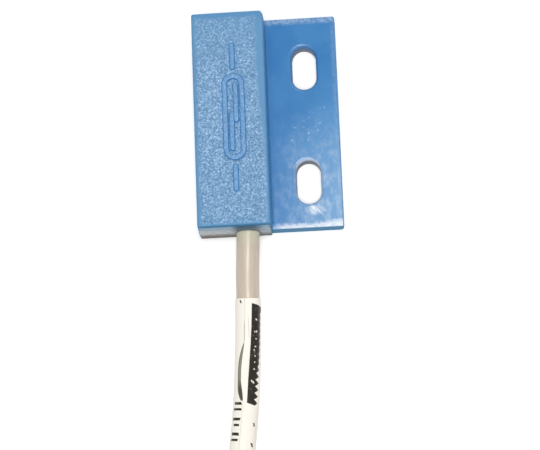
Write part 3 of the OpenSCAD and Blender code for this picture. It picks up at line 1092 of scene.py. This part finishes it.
@dataclass(frozen=True)
class JacketPlastic:
    """Soft extruded jacket of the cable, with painted light that brightens it where it leaves the resin.
    """

    leaves_y: float
    pale: str = "#ccbeac"
    deep: str = "#c4b5a2"
    fresh: str = "#dad4ba"
    fresh_l: Fade = Fade(2.6, 0.4)
    streaks: Grain = Grain(0.5, Fade(0.3, 0.7), stretch=(1.0, 0.06, 1.0))
    roughness: Strength = Strength(0.32, 0.06)
    gloss: float = 1.0
    depth: float = 0.006

    def material(self) -> bpy.types.Material:
        """Make the finish.

        Returns:
            The material.
        """
        paint = Paint("jacket_plastic")
        at = paint.place()
        streaks = self.streaks.raw(paint, at)
        colour = paint.mix(self.streaks.fade.of(streaks), tint(self.deep), tint(self.pale))
        _, y, _ = paint.axes(at)
        # Painted light where the cable leaves the resin
        colour = paint.mix(self.fresh_l.of(self.leaves_y - y), colour, tint(self.fresh))
        return paint.surface(Base_Color=colour, Roughness=self.roughness.of(streaks),
                             Specular_IOR_Level=self.gloss, Normal=paint.bump(streaks, self.depth))


@dataclass(frozen=True)
class PlainPlastic:
    """Plastic of one colour with a slight mottle, for cores and the tie."""

    name: str
    colour: str
    worn: str
    mottle: Grain = Grain(0.4, Fade(0.35, 0.75))
    roughness: Strength = Strength(0.35, 0.2)
    depth: float = 0.015

    def material(self) -> bpy.types.Material:
        """Make the finish.

        Returns:
            The material.
        """
        paint = Paint(self.name)
        mottle = self.mottle.raw(paint, paint.place())
        colour = paint.mix(self.mottle.fade.of(mottle), tint(self.colour), tint(self.worn))
        return paint.surface(Base_Color=colour, Roughness=self.roughness.of(mottle),
                             Normal=paint.bump(mottle, self.depth))


@dataclass(frozen=True)
class WireMetal:
    """Bright wire with fine drawing marks along Y."""

    name: str
    bright: str
    dull: str
    roughness: Strength = Strength(0.28, 0.15)
    marks: Grain = Grain(0.12, Fade(0.3, 0.7), stretch=(1.0, 0.1, 1.0))
    depth: float = 0.004

    def material(self) -> bpy.types.Material:
        """Make the finish.

        Returns:
            The material.
        """
        paint = Paint(self.name)
        marks = self.marks.raw(paint, paint.place())
        colour = paint.mix(self.marks.fade.of(marks), tint(self.bright), tint(self.dull))
        return paint.surface(Base_Color=colour, Metallic=1.0, Roughness=self.roughness.of(marks),
                             Normal=paint.bump(marks, self.depth))


@dataclass(frozen=True)
class SealGlass:
    """Clear greenish glass of the reed capsule."""

    colour: str = "#c9e4d3"
    streaks: Grain = Grain(1.2, detail=2.0)
    roughness: Strength = Strength(0.02, 0.04)
    bending: float = 1.49

    def material(self) -> bpy.types.Material:
        """Make the finish.

        Returns:
            The material.
        """
        paint = Paint("seal_glass")
        streaks = self.streaks.raw(paint, paint.place())
        colour = paint.mix(streaks, tint(self.colour), WHITE)
        return paint.surface(Base_Color=colour, Roughness=self.roughness.of(streaks),
                             Transmission_Weight=1.0, IOR=self.bending)


class Core(Enum):
    """The cable's two cores: colour of the insulation, and its colour where it is worn."""

    BROWN = ("#5d3a24", "#6f4a31")
    BLUE = ("#2a58a3", "#3d6cb5")

    @property
    def prefix(self) -> str:
        """Start of the names of this core's pieces."""
        return self.name.lower()

    def plastic(self, name: str) -> bpy.types.Material:
        """Insulation of this core, as a material of the given name."""
        return PlainPlastic(name, *self.value).material()


@dataclass(frozen=True)
class Mark:
    """One dark or white bar of the label's print, on the unrolled sheet. Lengths are millimetres."""

    across: float
    along: float
    wide: float
    tall: float
    slant: float = 0.0
    blur: float = 0.03

    def mask(self, across: Channel, along: Channel) -> Channel:
        """Mask of the bar.

        Args:
            across: Distance across the sheet.
            along: Distance along the sheet.

        Returns:
            The mask.
        """
        down = along - self.along
        aside = across - self.across + down * self.slant
        half_w = self.wide / 2
        half_t = self.tall / 2
        return aside.within(-half_w, half_w, self.blur) & down.within(-half_t, half_t, self.blur)


@dataclass(frozen=True)
class Crease:
    """A fine line of painted shadow along the label's edges, on the unrolled sheet. Lengths are
    millimetres.
    """

    across: float
    start: float
    end: float
    half: float
    blur: float
    strength: float
    lean: float = 0.0
    taper: float = 0.6

    def mask(self, across: Channel, along: Channel) -> Channel:
        """Mask of the line.

        Args:
            across: Distance across the sheet.
            along: Distance along the sheet.

        Returns:
            The mask, which thins out towards both ends.
        """
        aside = across + (along - self.start) * self.lean - self.across
        line = aside.within(-self.half, self.half, self.blur)
        return (line & along.within(self.start, self.end, self.taper)) * self.strength


@dataclass(frozen=True)
class DarkField:
    """Large dark field of the label's print, ragged along one side. Lengths are millimetres."""

    start: float = 0.68
    end: float = 13.6
    left: float = 9.2
    right: float = 11.18
    lean: float = 0.03
    end_slope: float = 0.25
    blur: float = 0.04
    right_blur: float = 0.03
    # Teeth of the ragged side: half their spacing, their depth, and the white left beside them
    tooth_half: float = 0.42
    tooth_depth: Strength = Strength(0.35, 1.2)
    tooth_deepens: Fade = Fade(7.5, 10.5)
    tooth_start: Fade = Fade(1.2, 2.2)
    beside: float = 0.45

    def mask(self, across: Channel, along: Channel) -> Channel:
        """Mask of the field.

        Args:
            across: Distance across the sheet.
            along: Distance along the sheet.

        Returns:
            The mask.
        """
        straight = across - (along - self.start) * self.lean
        depth = self.tooth_depth.of(self.tooth_deepens.of(along))
        tooth = across.paint.math("PINGPONG", along, self.tooth_half) * depth + self.beside
        ragged = straight - tooth * self.tooth_start.of(along)
        sides = ragged.rise(self.left - self.blur, self.left + self.blur)
        sides = sides & straight.rise(self.right + self.right_blur, self.right - self.right_blur)
        down = along + (across - self.right) * self.end_slope
        return sides & down.within(self.start, self.end, self.blur)


@dataclass(frozen=True)
class SoiledStretch:
    """Crescent of painted shadow that shows beside the lifted edge. Lengths are millimetres."""

    middle: float = 9.6
    half_l: float = 4.0
    bulge: float = 2.5
    hollow: float = 0.9
    start: float = 5.6
    end: float = 13.25
    blur: float = 0.08
    # Past the middle the outline falls later and faster
    later: Fade = Fade(9.4, 9.8)
    edge: Fade = Fade(-0.03, 0.06)
    covered: Fade = Fade(1.2, 1.3)
    dark_rim: Fade = Fade(0.2, 0.04)
    dark_end: Fade = Fade(10.0, 12.0)
    strength: Strength = Strength(0.74, 0.22)

    def mask(self, across: Channel, along: Channel) -> Channel:
        """Mask of the crescent.

        Args:
            across: Distance across the sheet.
            along: Distance along the sheet.

        Returns:
            The mask.
        """
        bow = (along - self.middle) / self.half_l
        early = bow * bow
        fall = early + (early * early - early) * self.later.of(along)
        inside = self.bulge - fall * self.hollow - across
        area = self.edge.of(inside) & self.covered.of(across)
        area = area & along.within(self.start, self.end, self.blur)
        dark = self.dark_rim.of(inside) | self.dark_end.of(along)
        return area * self.strength.of(dark)


@dataclass(frozen=True)
class PrintedPaper:
    """White label paper with plain bars for its print. Lengths are millimetres on the unrolled sheet."""

    width: float
    length: float
    paper: str = "#fffaf0"
    shade: str = "#fff8ea"
    ink: str = "#1f190f"
    cut_edge: str = "#9a948a"
    shadow: str = "#3a3127"
    fibres: Grain = Grain(0.5, Fade(0.4, 0.8))
    dark_field: DarkField = DarkField()
    soiled: SoiledStretch = SoiledStretch()
    creases: Sequence[Crease] = (
        Crease(1.66, 3.2, 6.4, 0.05, 0.03, 0.45),
        Crease(11.65, 2.6, 5.2, 0.04, 0.04, 0.35, lean=0.05))
    bars: Sequence[Mark] = (
        Mark(2.3, 13.6, 1.15, 0.36, 0.3), Mark(2.35, 14.35, 1.3, 0.3, 0.2),
        Mark(2.4, 15.6, 1.3, 0.36, -0.3), Mark(2.3, 16.35, 0.9, 0.3, 0.2),
        Mark(2.4, 17.5, 1.25, 0.38, 0.2), Mark(2.45, 18.25, 1.2, 0.3, -0.2),
        Mark(10.4, 16.15, 0.24, 0.45, 0.3), Mark(10.45, 18.7, 0.28, 0.5, 0.5),
        Mark(2.15, 0.45, 0.2, 0.4, 0.3))
    gaps: Sequence[Mark] = (
        Mark(10.6, 2.8, 0.2, 0.24, 0.6), Mark(10.55, 4.35, 0.13, 0.26),
        Mark(10.8, 4.4, 0.12, 0.2), Mark(10.62, 5.3, 0.16, 0.14, 0.3),
        Mark(10.7, 6.3, 0.2, 0.16), Mark(10.84, 6.75, 0.1, 0.2, 0.4),
        Mark(10.72, 7.5, 0.12, 0.22, 0.4), Mark(10.76, 8.3, 0.16, 0.14),
        Mark(10.8, 9.2, 0.18, 0.14, 0.2), Mark(10.9, 10.85, 0.2, 0.3, 0.5),
        Mark(11.1, 10.7, 0.1, 0.24))
    # Where the fibres thin the ink, and the share of the width past which the cut end shows a painted
    # shade line
    thin_ink: Fade = Fade(0.85, 0.55)
    ink_strength: Strength = Strength(0.8, 0.2)
    cut_from: Fade = Fade(0.9965, 0.999)
    cut_share: float = 0.8
    roughness: Strength = Strength(0.5, -0.12)
    gloss: float = 0.3
    depth: float = 0.01

    def print_mask(self, across: Channel, along: Channel) -> Channel:
        """Mask of all the ink.

        Args:
            across: Distance across the sheet.
            along: Distance along the sheet.

        Returns:
            The mask.
        """
        ink = self.dark_field.mask(across, along)
        for gap in self.gaps:
            ink = ink & (1.0 - gap.mask(across, along))
        for bar in self.bars:
            ink = ink | bar.mask(across, along)
        return ink

    def material(self) -> bpy.types.Material:
        """Make the finish.

        Returns:
            The material.
        """
        paint = Paint("printed_paper")
        u, v, _ = paint.axes(paint.node("ShaderNodeTexCoord", output="UV"))
        across = u * self.width
        along = v * self.length
        fibres = self.fibres.raw(paint, paint.place())
        colour = paint.mix(self.fibres.fade.of(fibres), tint(self.paper), tint(self.shade))
        # Painted shadow beside the lifted edge
        soiled = self.soiled.mask(across, along)
        # Painted shadow lines along the edges
        for shadow_line in self.creases:
            soiled = soiled | shadow_line.mask(across, along)
        colour = paint.mix(soiled, colour, tint(self.shadow))
        ink = self.print_mask(across, along) * self.ink_strength.of(self.thin_ink.of(fibres))
        colour = paint.mix(ink, colour, tint(self.ink))
        # Painted shade line along the sheet's cut end
        colour = paint.mix(self.cut_from.of(u) * self.cut_share, colour, tint(self.cut_edge))
        return paint.surface(Base_Color=colour, Roughness=self.roughness.of(ink),
                             Specular_IOR_Level=self.gloss, Normal=paint.bump(fibres, self.depth))


@dataclass
class Path:
    """Smooth line through given points. Lengths are millimetres."""

    points: list[Vector]
    lengths: list[float] = field(init=False)

    def __post_init__(self) -> None:
        """Measure the line."""
        self.lengths = [0.0]
        for first, second in zip(self.points, self.points[1:]):
            self.lengths.append(self.lengths[-1] + (second - first).length)

    @classmethod
    def through(cls, corners: Sequence[Vector], steps: int) -> "Path":
        """Draw a smooth line through corner points.

        Args:
            corners: Points that the line passes through.
            steps: Pieces between two corners.

        Returns:
            The line.
        """
        padded = [2 * corners[0] - corners[1], *corners, 2 * corners[-1] - corners[-2]]
        points = [corners[0]]
        for a, b, c, d in zip(padded, padded[1:], padded[2:], padded[3:]):
            for i in range(1, steps + 1):
                t = i / steps
                points.append(0.5 * (2 * b + (c - a) * t + (2 * a - 5 * b + 4 * c - d) * t * t
                                     + (3 * b - a - 3 * c + d) * t ** 3))
        return cls(points)

    def at(self, length: float) -> tuple[Vector, Vector]:
        """Find a place on the line.

        Args:
            length: Distance from the line's start.

        Returns:
            The place, and the direction there.
        """
        i = 1
        while i < len(self.lengths) - 1 and self.lengths[i] < length:
            i += 1
        first, second = self.points[i - 1], self.points[i]
        share = (length - self.lengths[i - 1]) / (self.lengths[i] - self.lengths[i - 1])
        before = self.points[max(i - 2, 0)]
        after = self.points[min(i + 1, len(self.points) - 1)]
        ahead = (second - before).lerp(after - first, share).normalized()
        return first.lerp(second, share), ahead


@dataclass
class Cable:
    """Two-core cable from the housing's near face to a hank on the table. Lengths are millimetres."""

    near_y: float
    diameter: float = 3.0
    leaves_x: float = -3.1
    leaves_z: float = 2.7
    depth: float = 2.4
    route_steps: Sequence[Sequence[float]] = (
        (-0.10, -2.5, 0), (-0.25, -5, -0.2), (-0.33, -7, -0.5), (-0.38, -8.6, -0.7), (-0.45, -11.5, -0.85),
        (-0.55, -14, -0.9), (-0.72, -17, -0.9), (-0.9, -20, -0.9), (-1.17, -23, -0.9), (-1.52, -26, -0.9),
        (-1.85, -28.5, -0.9), (-2.1, -30.6, -0.9), (-2.4, -33, -0.9), (-2.65, -36, -0.9),
        (-2.75, -38.5, -0.9), (-2.75, -41, -0.9))
    fold_r: float = 9.0
    run: float = 42.0
    stripped: float = 18.0
    run_steps: int = 8
    fold_steps: int = 14
    climb_deg: float = 125.0
    smooth_steps: int = 4
    round_steps: int = 10
    label_corners: tuple[int, int] = (5, 13)
    label_gap: float = 0.3
    core_off: float = 0.6

    @property
    def leaves_at(self) -> Vector:
        """Point where the cable leaves the resin."""
        return Vector((self.leaves_x, self.near_y, self.leaves_z))

    def tie_middle(self) -> Vector:
        """Middle of the near run's two layers, halfway along it."""
        top = self.leaves_at + Vector(self.route_steps[-1])
        return top + Vector((0, -self.run / 2, self.diameter / 2))

    def core_base(self, end: Vector, side: int) -> Vector:
        """Where a core comes out of the jacket's end, on one side of it."""
        return end + Vector((side * self.core_off, 0, -self.core_off))

    def label_stretch(self, path: Path) -> tuple[float, float]:
        """Find the stretch of the cable that the label covers.

        Args:
            path: The line of the cable's middle.

        Returns:
            The label's start and its length.
        """
        first, last = (path.lengths[i * self.smooth_steps] for i in self.label_corners)
        return first + self.label_gap, last - first - self.label_gap

    def corners(self) -> list[Vector]:
        """List the points of the whole route: free cable, then two turns of the hank.

        Returns:
            The points.
        """
        free = [self.leaves_at + Vector(step) for step in self.route_steps]
        corners = [self.leaves_at + Vector((0, self.depth, 0)), self.leaves_at, *free]
        top = free[-1]
        middle = top.x + self.fold_r
        far = middle + self.fold_r
        low_y = top.y - self.run
        for layer in (0, 1):
            z = top.z + layer * self.diameter
            corners += self.straight(Vector((top.x, top.y, z)), low_y)
            corners += self.fold(Vector((middle, low_y, z)), 180, 0.0)
            if layer:
                corners += self.straight(Vector((far, low_y, z)), top.y - self.stripped)
            else:
                corners += self.straight(Vector((far, low_y, z)), top.y)
                corners += self.fold(Vector((middle, top.y, z)), 0, self.diameter)
        return corners

    def straight(self, start: Vector, to_y: float) -> list[Vector]:
        """Points of a straight run along Y, without its start."""
        end = Vector((start.x, to_y, start.z))
        return [start.lerp(end, i / self.run_steps) for i in range(1, self.run_steps + 1)]

    def fold(self, centre: Vector, from_deg: float, rise: float) -> list[Vector]:
        """List the points of a half turn, without its start.

        Args:
            centre: Centre of the turn.
            from_deg: Angle of its start, in degrees.
            rise: Height that it climbs.

        Returns:
            The points.
        """
        points = []
        for i in range(1, self.fold_steps + 1):
            turned = 180 * i / self.fold_steps
            angle = math.radians(from_deg + turned)
            climb = rise * ease(turned, 0, self.climb_deg)
            out = Vector((math.cos(angle), math.sin(angle), 0)) * self.fold_r
            points.append(centre + out + UP * climb)
        return points

    def build(self) -> tuple[bpy.types.Object, Path]:
        """Make the jacket.

        Returns:
            The jacket, and the line of its middle.
        """
        path = Path.through(self.corners(), self.smooth_steps)
        curve = bpy.data.curves.new("cable", "CURVE")
        curve.dimensions = "3D"
        spline = curve.splines.new("POLY")
        spline.points.add(len(path.points) - 1)
        for point, place in zip(spline.points, path.points):
            point.co = (*(place * MM), 1.0)
        curve.bevel_depth = self.diameter / 2 * MM
        curve.bevel_resolution = self.round_steps
        curve.use_fill_caps = True
        jacket = bpy.data.objects.new("cable", curve)
        bpy.context.collection.objects.link(jacket)
        plastic = JacketPlastic(self.near_y).material()
        return dress(jacket, plastic, "cable", "cable_jacket", "cable_hank"), path


@dataclass
class ReedMark:
    """Raised outline of a reed capsule on the body's top. Lengths are millimetres."""

    middle: Vector
    capsule_r: float = 1.5
    capsule_l: float = 11.6
    stroke: float = 0.75
    height: float = 0.2
    root: float = 0.1
    lead_l: float = 3.7
    lead_gap: float = 0.45
    blade_l: float = 5.4
    blade_off: float = 0.3
    blade_gap: float = 1.2
    edge: float = 0.28
    edge_steps: int = 3
    edge_deg: float = 50.0
    ring_sides: int = 48
    bar_sides: int = 24
    smooth_deg: float = 60.0

    def stretched(self, name: str, sides: int, radius: float, length: float) -> Bench:
        """Start a flat outline with round ends, along Y.

        Args:
            name: Name of the piece.
            sides: Corners of the round ends together.
            radius: Radius of the ends.
            length: Length over the ends.

        Returns:
            The bench that holds it.
        """
        bench = Bench(name, bpy.ops.mesh.primitive_circle_add, vertices=sides, radius=radius,
                      fill_type="NGON")
        with bench.edit():
            for side in (1, -1):
                bench.pick(Pick.VERT, lambda centre: centre.y * side > TOUCH)
                bpy.ops.transform.translate(value=(0, side * (length / 2 - radius), 0))
        return bench

    def raise_up(self, bench: Bench) -> Bench:
        """Thicken a flat outline and round its edges.

        Args:
            bench: The bench that holds the outline.

        Returns:
            The same bench.
        """
        bench.hold()
        bpy.ops.object.transform_apply(location=True, rotation=True, scale=True)
        bench.modify("SOLIDIFY", thickness=self.height + self.root, offset=1.0)
        bench.modify("BEVEL", width=self.edge, segments=self.edge_steps, limit_method="ANGLE",
                     angle_limit=math.radians(self.edge_deg))
        return bench

    def ring(self) -> Bench:
        """Make the outline of the glass, as a long ring.

        Returns:
            The bench that holds it.
        """
        bench = self.stretched("reed_mark", self.ring_sides, self.capsule_r, self.capsule_l)
        with bench.edit():
            bench.pick(Pick.FACE, lambda centre: True)
            bpy.ops.mesh.inset(thickness=self.stroke)
            bpy.ops.mesh.delete(type="FACE")
        return self.raise_up(bench)

    def bar(self, x: float, low: float, high: float) -> Bench:
        """Make a straight stroke along Y, with round ends.

        Args:
            x: Its place beside the middle.
            low: Its near end.
            high: Its far end.

        Returns:
            The bench that holds it.
        """
        bench = self.stretched("reed_bar", self.bar_sides, self.stroke / 2, high - low)
        bench.shape(lambda point: point + Vector((x, (low + high) / 2, 0)))
        return self.raise_up(bench)

    def build(self, material: bpy.types.Material) -> bpy.types.Object:
        """Make the mark.

        Args:
            material: Finish of the housing.

        Returns:
            The mark.
        """
        inner = self.capsule_l / 2 - self.blade_gap
        outer = self.capsule_l / 2 + self.lead_gap
        bench = self.ring()
        bench.join([
            self.bar(0, outer, outer + self.lead_l),
            self.bar(0, -outer - self.lead_l, -outer),
            self.bar(self.blade_off, inner - self.blade_l, inner),
            self.bar(-self.blade_off, -inner, self.blade_l - inner)])
        bench.shape(lambda point: point + self.middle - self.root * UP)
        bench.outwards()
        bench.smooth(self.smooth_deg)
        return bench.settle(material, "housing")


@dataclass
class Label:
    """Printed label rolled once and a bit round the cable, with a lifted end. Lengths are millimetres."""

    path: Path
    start: float
    length: float
    bore_r: float = 1.59
    sheet: float = 0.08
    air: float = 0.02
    wrap_deg: float = 414.0
    start_deg: float = 44.0
    lap_from: float = 328.0
    lap_to: float = 362.0
    # The loose end: where along the label it lifts, how high, and how far it draws back
    lift: float = 0.3
    lift_from: float = 4.6
    lift_top: float = 9.6
    lift_back: float = 10.4
    lift_to: float = 13.4
    lift_deg: float = 34.0
    lift_power: float = 1.5
    back_deg: float = 9.0
    back_over_deg: float = 30.0
    steps_round: int = 150
    steps_along: int = 90

    @property
    def width(self) -> float:
        """Width of the unrolled sheet."""
        return math.radians(self.wrap_deg) * (self.bore_r + self.sheet)

    def roll(self, flat: Vector) -> Vector:
        """Roll a point of the flat sheet round the cable.

        Args:
            flat: The point, from -0.5 to 0.5 each way.

        Returns:
            Its place on the cable.
        """
        turn = (flat.x + 0.5) * self.wrap_deg
        along = (flat.y + 0.5) * self.length
        middle, ahead = self.path.at(self.start + along)
        right = UP.cross(ahead).normalized()
        up = ahead.cross(right)
        lap = ease(turn, self.lap_from, self.lap_to) * (self.sheet + self.air)
        bow = ease(along, self.lift_from, self.lift_top) * ease(along, self.lift_to, self.lift_back)
        loose = ease(turn, self.wrap_deg - self.lift_deg, self.wrap_deg)
        raised = self.lift * bow * loose ** self.lift_power
        back = self.back_deg * bow * ease(turn, self.wrap_deg - self.back_over_deg, self.wrap_deg)
        angle = math.radians(self.start_deg - turn - back)
        r = self.bore_r + self.sheet / 2 + lap + raised
        return middle + (up * math.cos(angle) + right * math.sin(angle)) * r

    def build(self) -> bpy.types.Object:
        """Make the label.

        Returns:
            The label.
        """
        bench = Bench("label", bpy.ops.mesh.primitive_grid_add, x_subdivisions=self.steps_round,
                      y_subdivisions=self.steps_along, size=1.0, calc_uvs=True)
        bench.shape(self.roll)
        with bench.edit():
            bpy.ops.mesh.flip_normals()
        bench.modify("SOLIDIFY", thickness=self.sheet, offset=0.0)
        bench.smooth()
        return bench.settle(PrintedPaper(self.width, self.length).material(), "label", "label_sleeve")


@dataclass(frozen=True)
class Strand:
    """One wire of a twisted bundle. Lengths are millimetres and the angle is degrees."""

    radius: float
    off: float
    angle: float


@dataclass
class Bundle:
    """Wires twisted round one another along Y. Lengths are millimetres."""

    name: str
    strands: Sequence[Strand]
    base: Vector
    length: float
    turns: float
    flare: float = 0.0
    flare_from: float = 0.7
    sides: int = 12
    cuts: int = 40
    end_round: float = 0.3
    end_steps: int = 2
    smooth_deg: float = 50.0

    def twist(self, point: Vector) -> Vector:
        """Turn a point of the straight bundle, which stands on Z, and lay it along Y.

        Args:
            point: The point.

        Returns:
            Its place in the twisted bundle.
        """
        share = point.z / self.length + 0.5
        angle = math.tau * self.turns * share
        wide = 1 + self.flare * ease(share, self.flare_from, 1.0)
        c, s = math.cos(angle) * wide, math.sin(angle) * wide
        x = point.x * c - point.y * s
        z = point.x * s + point.y * c
        return self.base + Vector((x, share * self.length, z))

    def wire(self, strand: Strand) -> Bench:
        """Make one straight wire with rounded ends.

        Args:
            strand: Its size and place.

        Returns:
            The bench that holds it.
        """
        angle = math.radians(strand.angle)
        at = (strand.off * math.cos(angle), strand.off * math.sin(angle), 0)
        bench = Bench(self.name, bpy.ops.mesh.primitive_cylinder_add, vertices=self.sides,
                      radius=strand.radius, depth=self.length, location=at)
        with bench.edit():
            bench.pick(Pick.EDGE, lambda centre: abs(centre.z) < TOUCH)
            bpy.ops.mesh.subdivide(number_cuts=self.cuts)
            bench.pick(Pick.EDGE, lambda centre: abs(abs(centre.z) - self.length / 2) < TOUCH)
            bpy.ops.mesh.bevel(offset=strand.radius * self.end_round, segments=self.end_steps)
        bench.hold()
        bpy.ops.object.transform_apply(location=True)
        return bench

    def build(self) -> Bench:
        """Make the wires.

        Returns:
            The bench that holds them, in millimetres.
        """
        bench, *others = [self.wire(strand) for strand in self.strands]
        bench.join(others)
        bench.shape(self.twist)
        bench.outwards()
        bench.smooth(self.smooth_deg)
        return bench


@dataclass
class Tie:
    """Wire tie round the hank's near run, with a twisted end. Lengths are millimetres."""

    middle: Vector
    cable_r: float
    rise: float
    width: float = 3.5
    sheet: float = 0.16
    clear: float = 0.05
    wire: float = 0.1
    wire_w: float = 0.35
    twist_l: float = 7.0
    twist_r: float = 0.24
    twist_turns: float = 2.5
    steps_round: int = 96
    steps_across: int = 22
    black: str = "#1d1d1f"
    worn: str = "#2c2c2e"

    def loop(self, flat: Vector) -> Vector:
        """Bend a point of the flat ribbon round the two layers of cable.

        Args:
            flat: The point, from -0.5 to 0.5 each way.

        Returns:
            Its place on the loop.
        """
        r = self.cable_r + self.clear + self.sheet / 2
        half_turn = math.pi * r
        along = (flat.x + 0.5) * 2 * (half_turn + self.rise)
        side = 1.0
        if along > half_turn + self.rise:
            along -= half_turn + self.rise
            side = -1.0
        across = flat.y * self.width
        bulge = self.wire * math.exp(-(across / self.wire_w) ** 2) + r
        if along < self.rise:
            x, z = bulge, along - self.rise / 2
        else:
            angle = (along - self.rise) / r
            x, z = bulge * math.cos(angle), self.rise / 2 + bulge * math.sin(angle)
        return self.middle + Vector((side * x, across, max(side * z, -self.rise / 2 - r)))

    def build(self) -> bpy.types.Object:
        """Make the tie.

        Returns:
            The tie.
        """
        ribbon = Bench("tie", bpy.ops.mesh.primitive_grid_add, x_subdivisions=self.steps_round,
                       y_subdivisions=self.steps_across, size=1.0)
        ribbon.shape(self.loop)
        ribbon.outwards()
        ribbon.modify("SOLIDIFY", thickness=self.sheet, offset=0.0)
        ribbon.smooth()
        top = self.middle.z + self.rise / 2 + self.cable_r + self.clear + self.sheet
        above = top + self.wire + 2 * self.twist_r
        base = Vector((self.middle.x, self.middle.y - self.width / 2, above))
        strands = [Strand(self.twist_r, self.twist_r, angle) for angle in (0, 180)]
        twisted = Bundle("tie_twist", strands, base, self.twist_l, self.twist_turns).build()
        ribbon.join([twisted])
        plastic = PlainPlastic("tie_plastic", self.black, self.worn).material()
        return ribbon.settle(plastic, "tie", "hank_tie")


@dataclass
class Tail:
    """One stripped core: insulation with a cut end, and bare twisted strands. Lengths are millimetres."""

    core: Core
    base: Vector
    outer_r: float = 0.55
    inner_r: float = 0.27
    covered: float = 13.0
    bare: float = 5.0
    recess: float = 0.5
    clear: float = 0.02
    sides: int = 28
    rim_r: float = 0.06
    rim_steps: int = 3
    wire_r: float = 0.082
    wires_round: int = 6
    twist_turns: float = 1.6
    flare: float = 0.15
    bright: str = "#d4d0c6"
    dull: str = "#b4afa5"

    def cover(self) -> bpy.types.Object:
        """Make the insulation, hollow at its cut end.

        Returns:
            The insulation.
        """
        name = self.core.prefix
        sleeve = Bench(f"{name}_tail", bpy.ops.mesh.primitive_cylinder_add, vertices=self.sides,
                       radius=self.outer_r, depth=self.covered)
        with sleeve.edit():
            sleeve.pick(Pick.FACE, lambda centre: centre.z > self.covered / 2 - TOUCH)
            bpy.ops.mesh.inset(thickness=self.outer_r - self.inner_r)
            bpy.ops.mesh.extrude_region_move(TRANSFORM_OT_translate={"value": (0, 0, -self.recess)})
            sleeve.pick(Pick.EDGE, lambda centre: abs(centre.z - self.covered / 2) < TOUCH)
            bpy.ops.mesh.bevel(offset=self.rim_r, segments=self.rim_steps)
        sleeve.shape(lambda point: self.base + Vector((point.x, point.z + self.covered / 2, -point.y)))
        sleeve.outwards()
        sleeve.smooth()
        plastic = self.core.plastic(f"{name}_plastic")
        return sleeve.settle(plastic, f"{name}_core", f"{name}_tail_insulation")

    def strands(self) -> bpy.types.Object:
        """Make the bare strands, one in the middle and the rest round it.

        Returns:
            The strands.
        """
        name = self.core.prefix
        strands = [Strand(self.wire_r, 0, 0)]
        for i in range(self.wires_round):
            strands.append(Strand(self.wire_r, 2 * self.wire_r, 360 / self.wires_round * i))
        start = self.base + Vector((0, self.covered - self.recess + self.clear, 0))
        length = self.bare + self.recess - self.clear
        bundle = Bundle(f"{name}_strands", strands, start, length, self.twist_turns, self.flare)
        metal = WireMetal(f"{name}_wire", self.bright, self.dull).material()
        return bundle.build().settle(metal, "tinned_copper", f"{name}_tail_strands")

    def build(self) -> list[bpy.types.Object]:
        """Make the insulation and the strands."""
        return [self.cover(), self.strands()]


@dataclass(frozen=True)
class InnerFinishes:
    """Finishes of the solids inside the resin. A metal has a bright and a dull tone."""

    reed: Sequence[str] = ("#cfcdc6", "#b3b1aa")
    solder: Sequence[str] = ("#c3c4c6", "#a2a4a8")
    solder_rough: Strength = Strength(0.4, 0.15)
    copper: Sequence[str] = ("#c77b4b", "#a9613a")

    def dress(self) -> None:
        """Dress the capsule, reeds, joints and cores."""
        coat(SealGlass().material(), "glass_capsule")
        coat(WireMetal("reed_wire", *self.reed).material(),
             "near_reed_lead", "far_reed_lead", "near_reed_blade", "far_reed_blade")
        coat(WireMetal("solder", *self.solder, self.solder_rough).material(),
             "near_solder_joint", "far_solder_joint")
        coat(WireMetal("copper_wire", *self.copper).material(), "brown_core_strands", "blue_core_strands")
        for core in Core:
            coat(core.plastic(f"{core.prefix}_core_plastic"), f"{core.prefix}_core_insulation")


def main() -> None:
    """Build the scene."""
    logging.basicConfig(level=logging.INFO)
    Studio().build()
    housing = Housing.packed()
    cable = Cable(housing.low.y)
    jacket, path = cable.build()
    end = path.points[-1]
    fittings = [
        Label(path, *cable.label_stretch(path)).build(),
        Tie(cable.tie_middle(), cable.diameter / 2, cable.diameter).build(),
        *Tail(Core.BROWN, cable.core_base(end, -1)).build(),
        *Tail(Core.BLUE, cable.core_base(end, 1)).build()]
    moulded = MouldedBlue(housing)
    blue = moulded.material()
    coat(blue, "housing")
    ReedMark(Vector((*moulded.mark_at, housing.high.z))).build(blue)
    coat(PottingResin(cable.leaves_at, cable.diameter / 2).material(), "potting")
    InnerFinishes().dress()


if __name__ == "__main__":
    main()
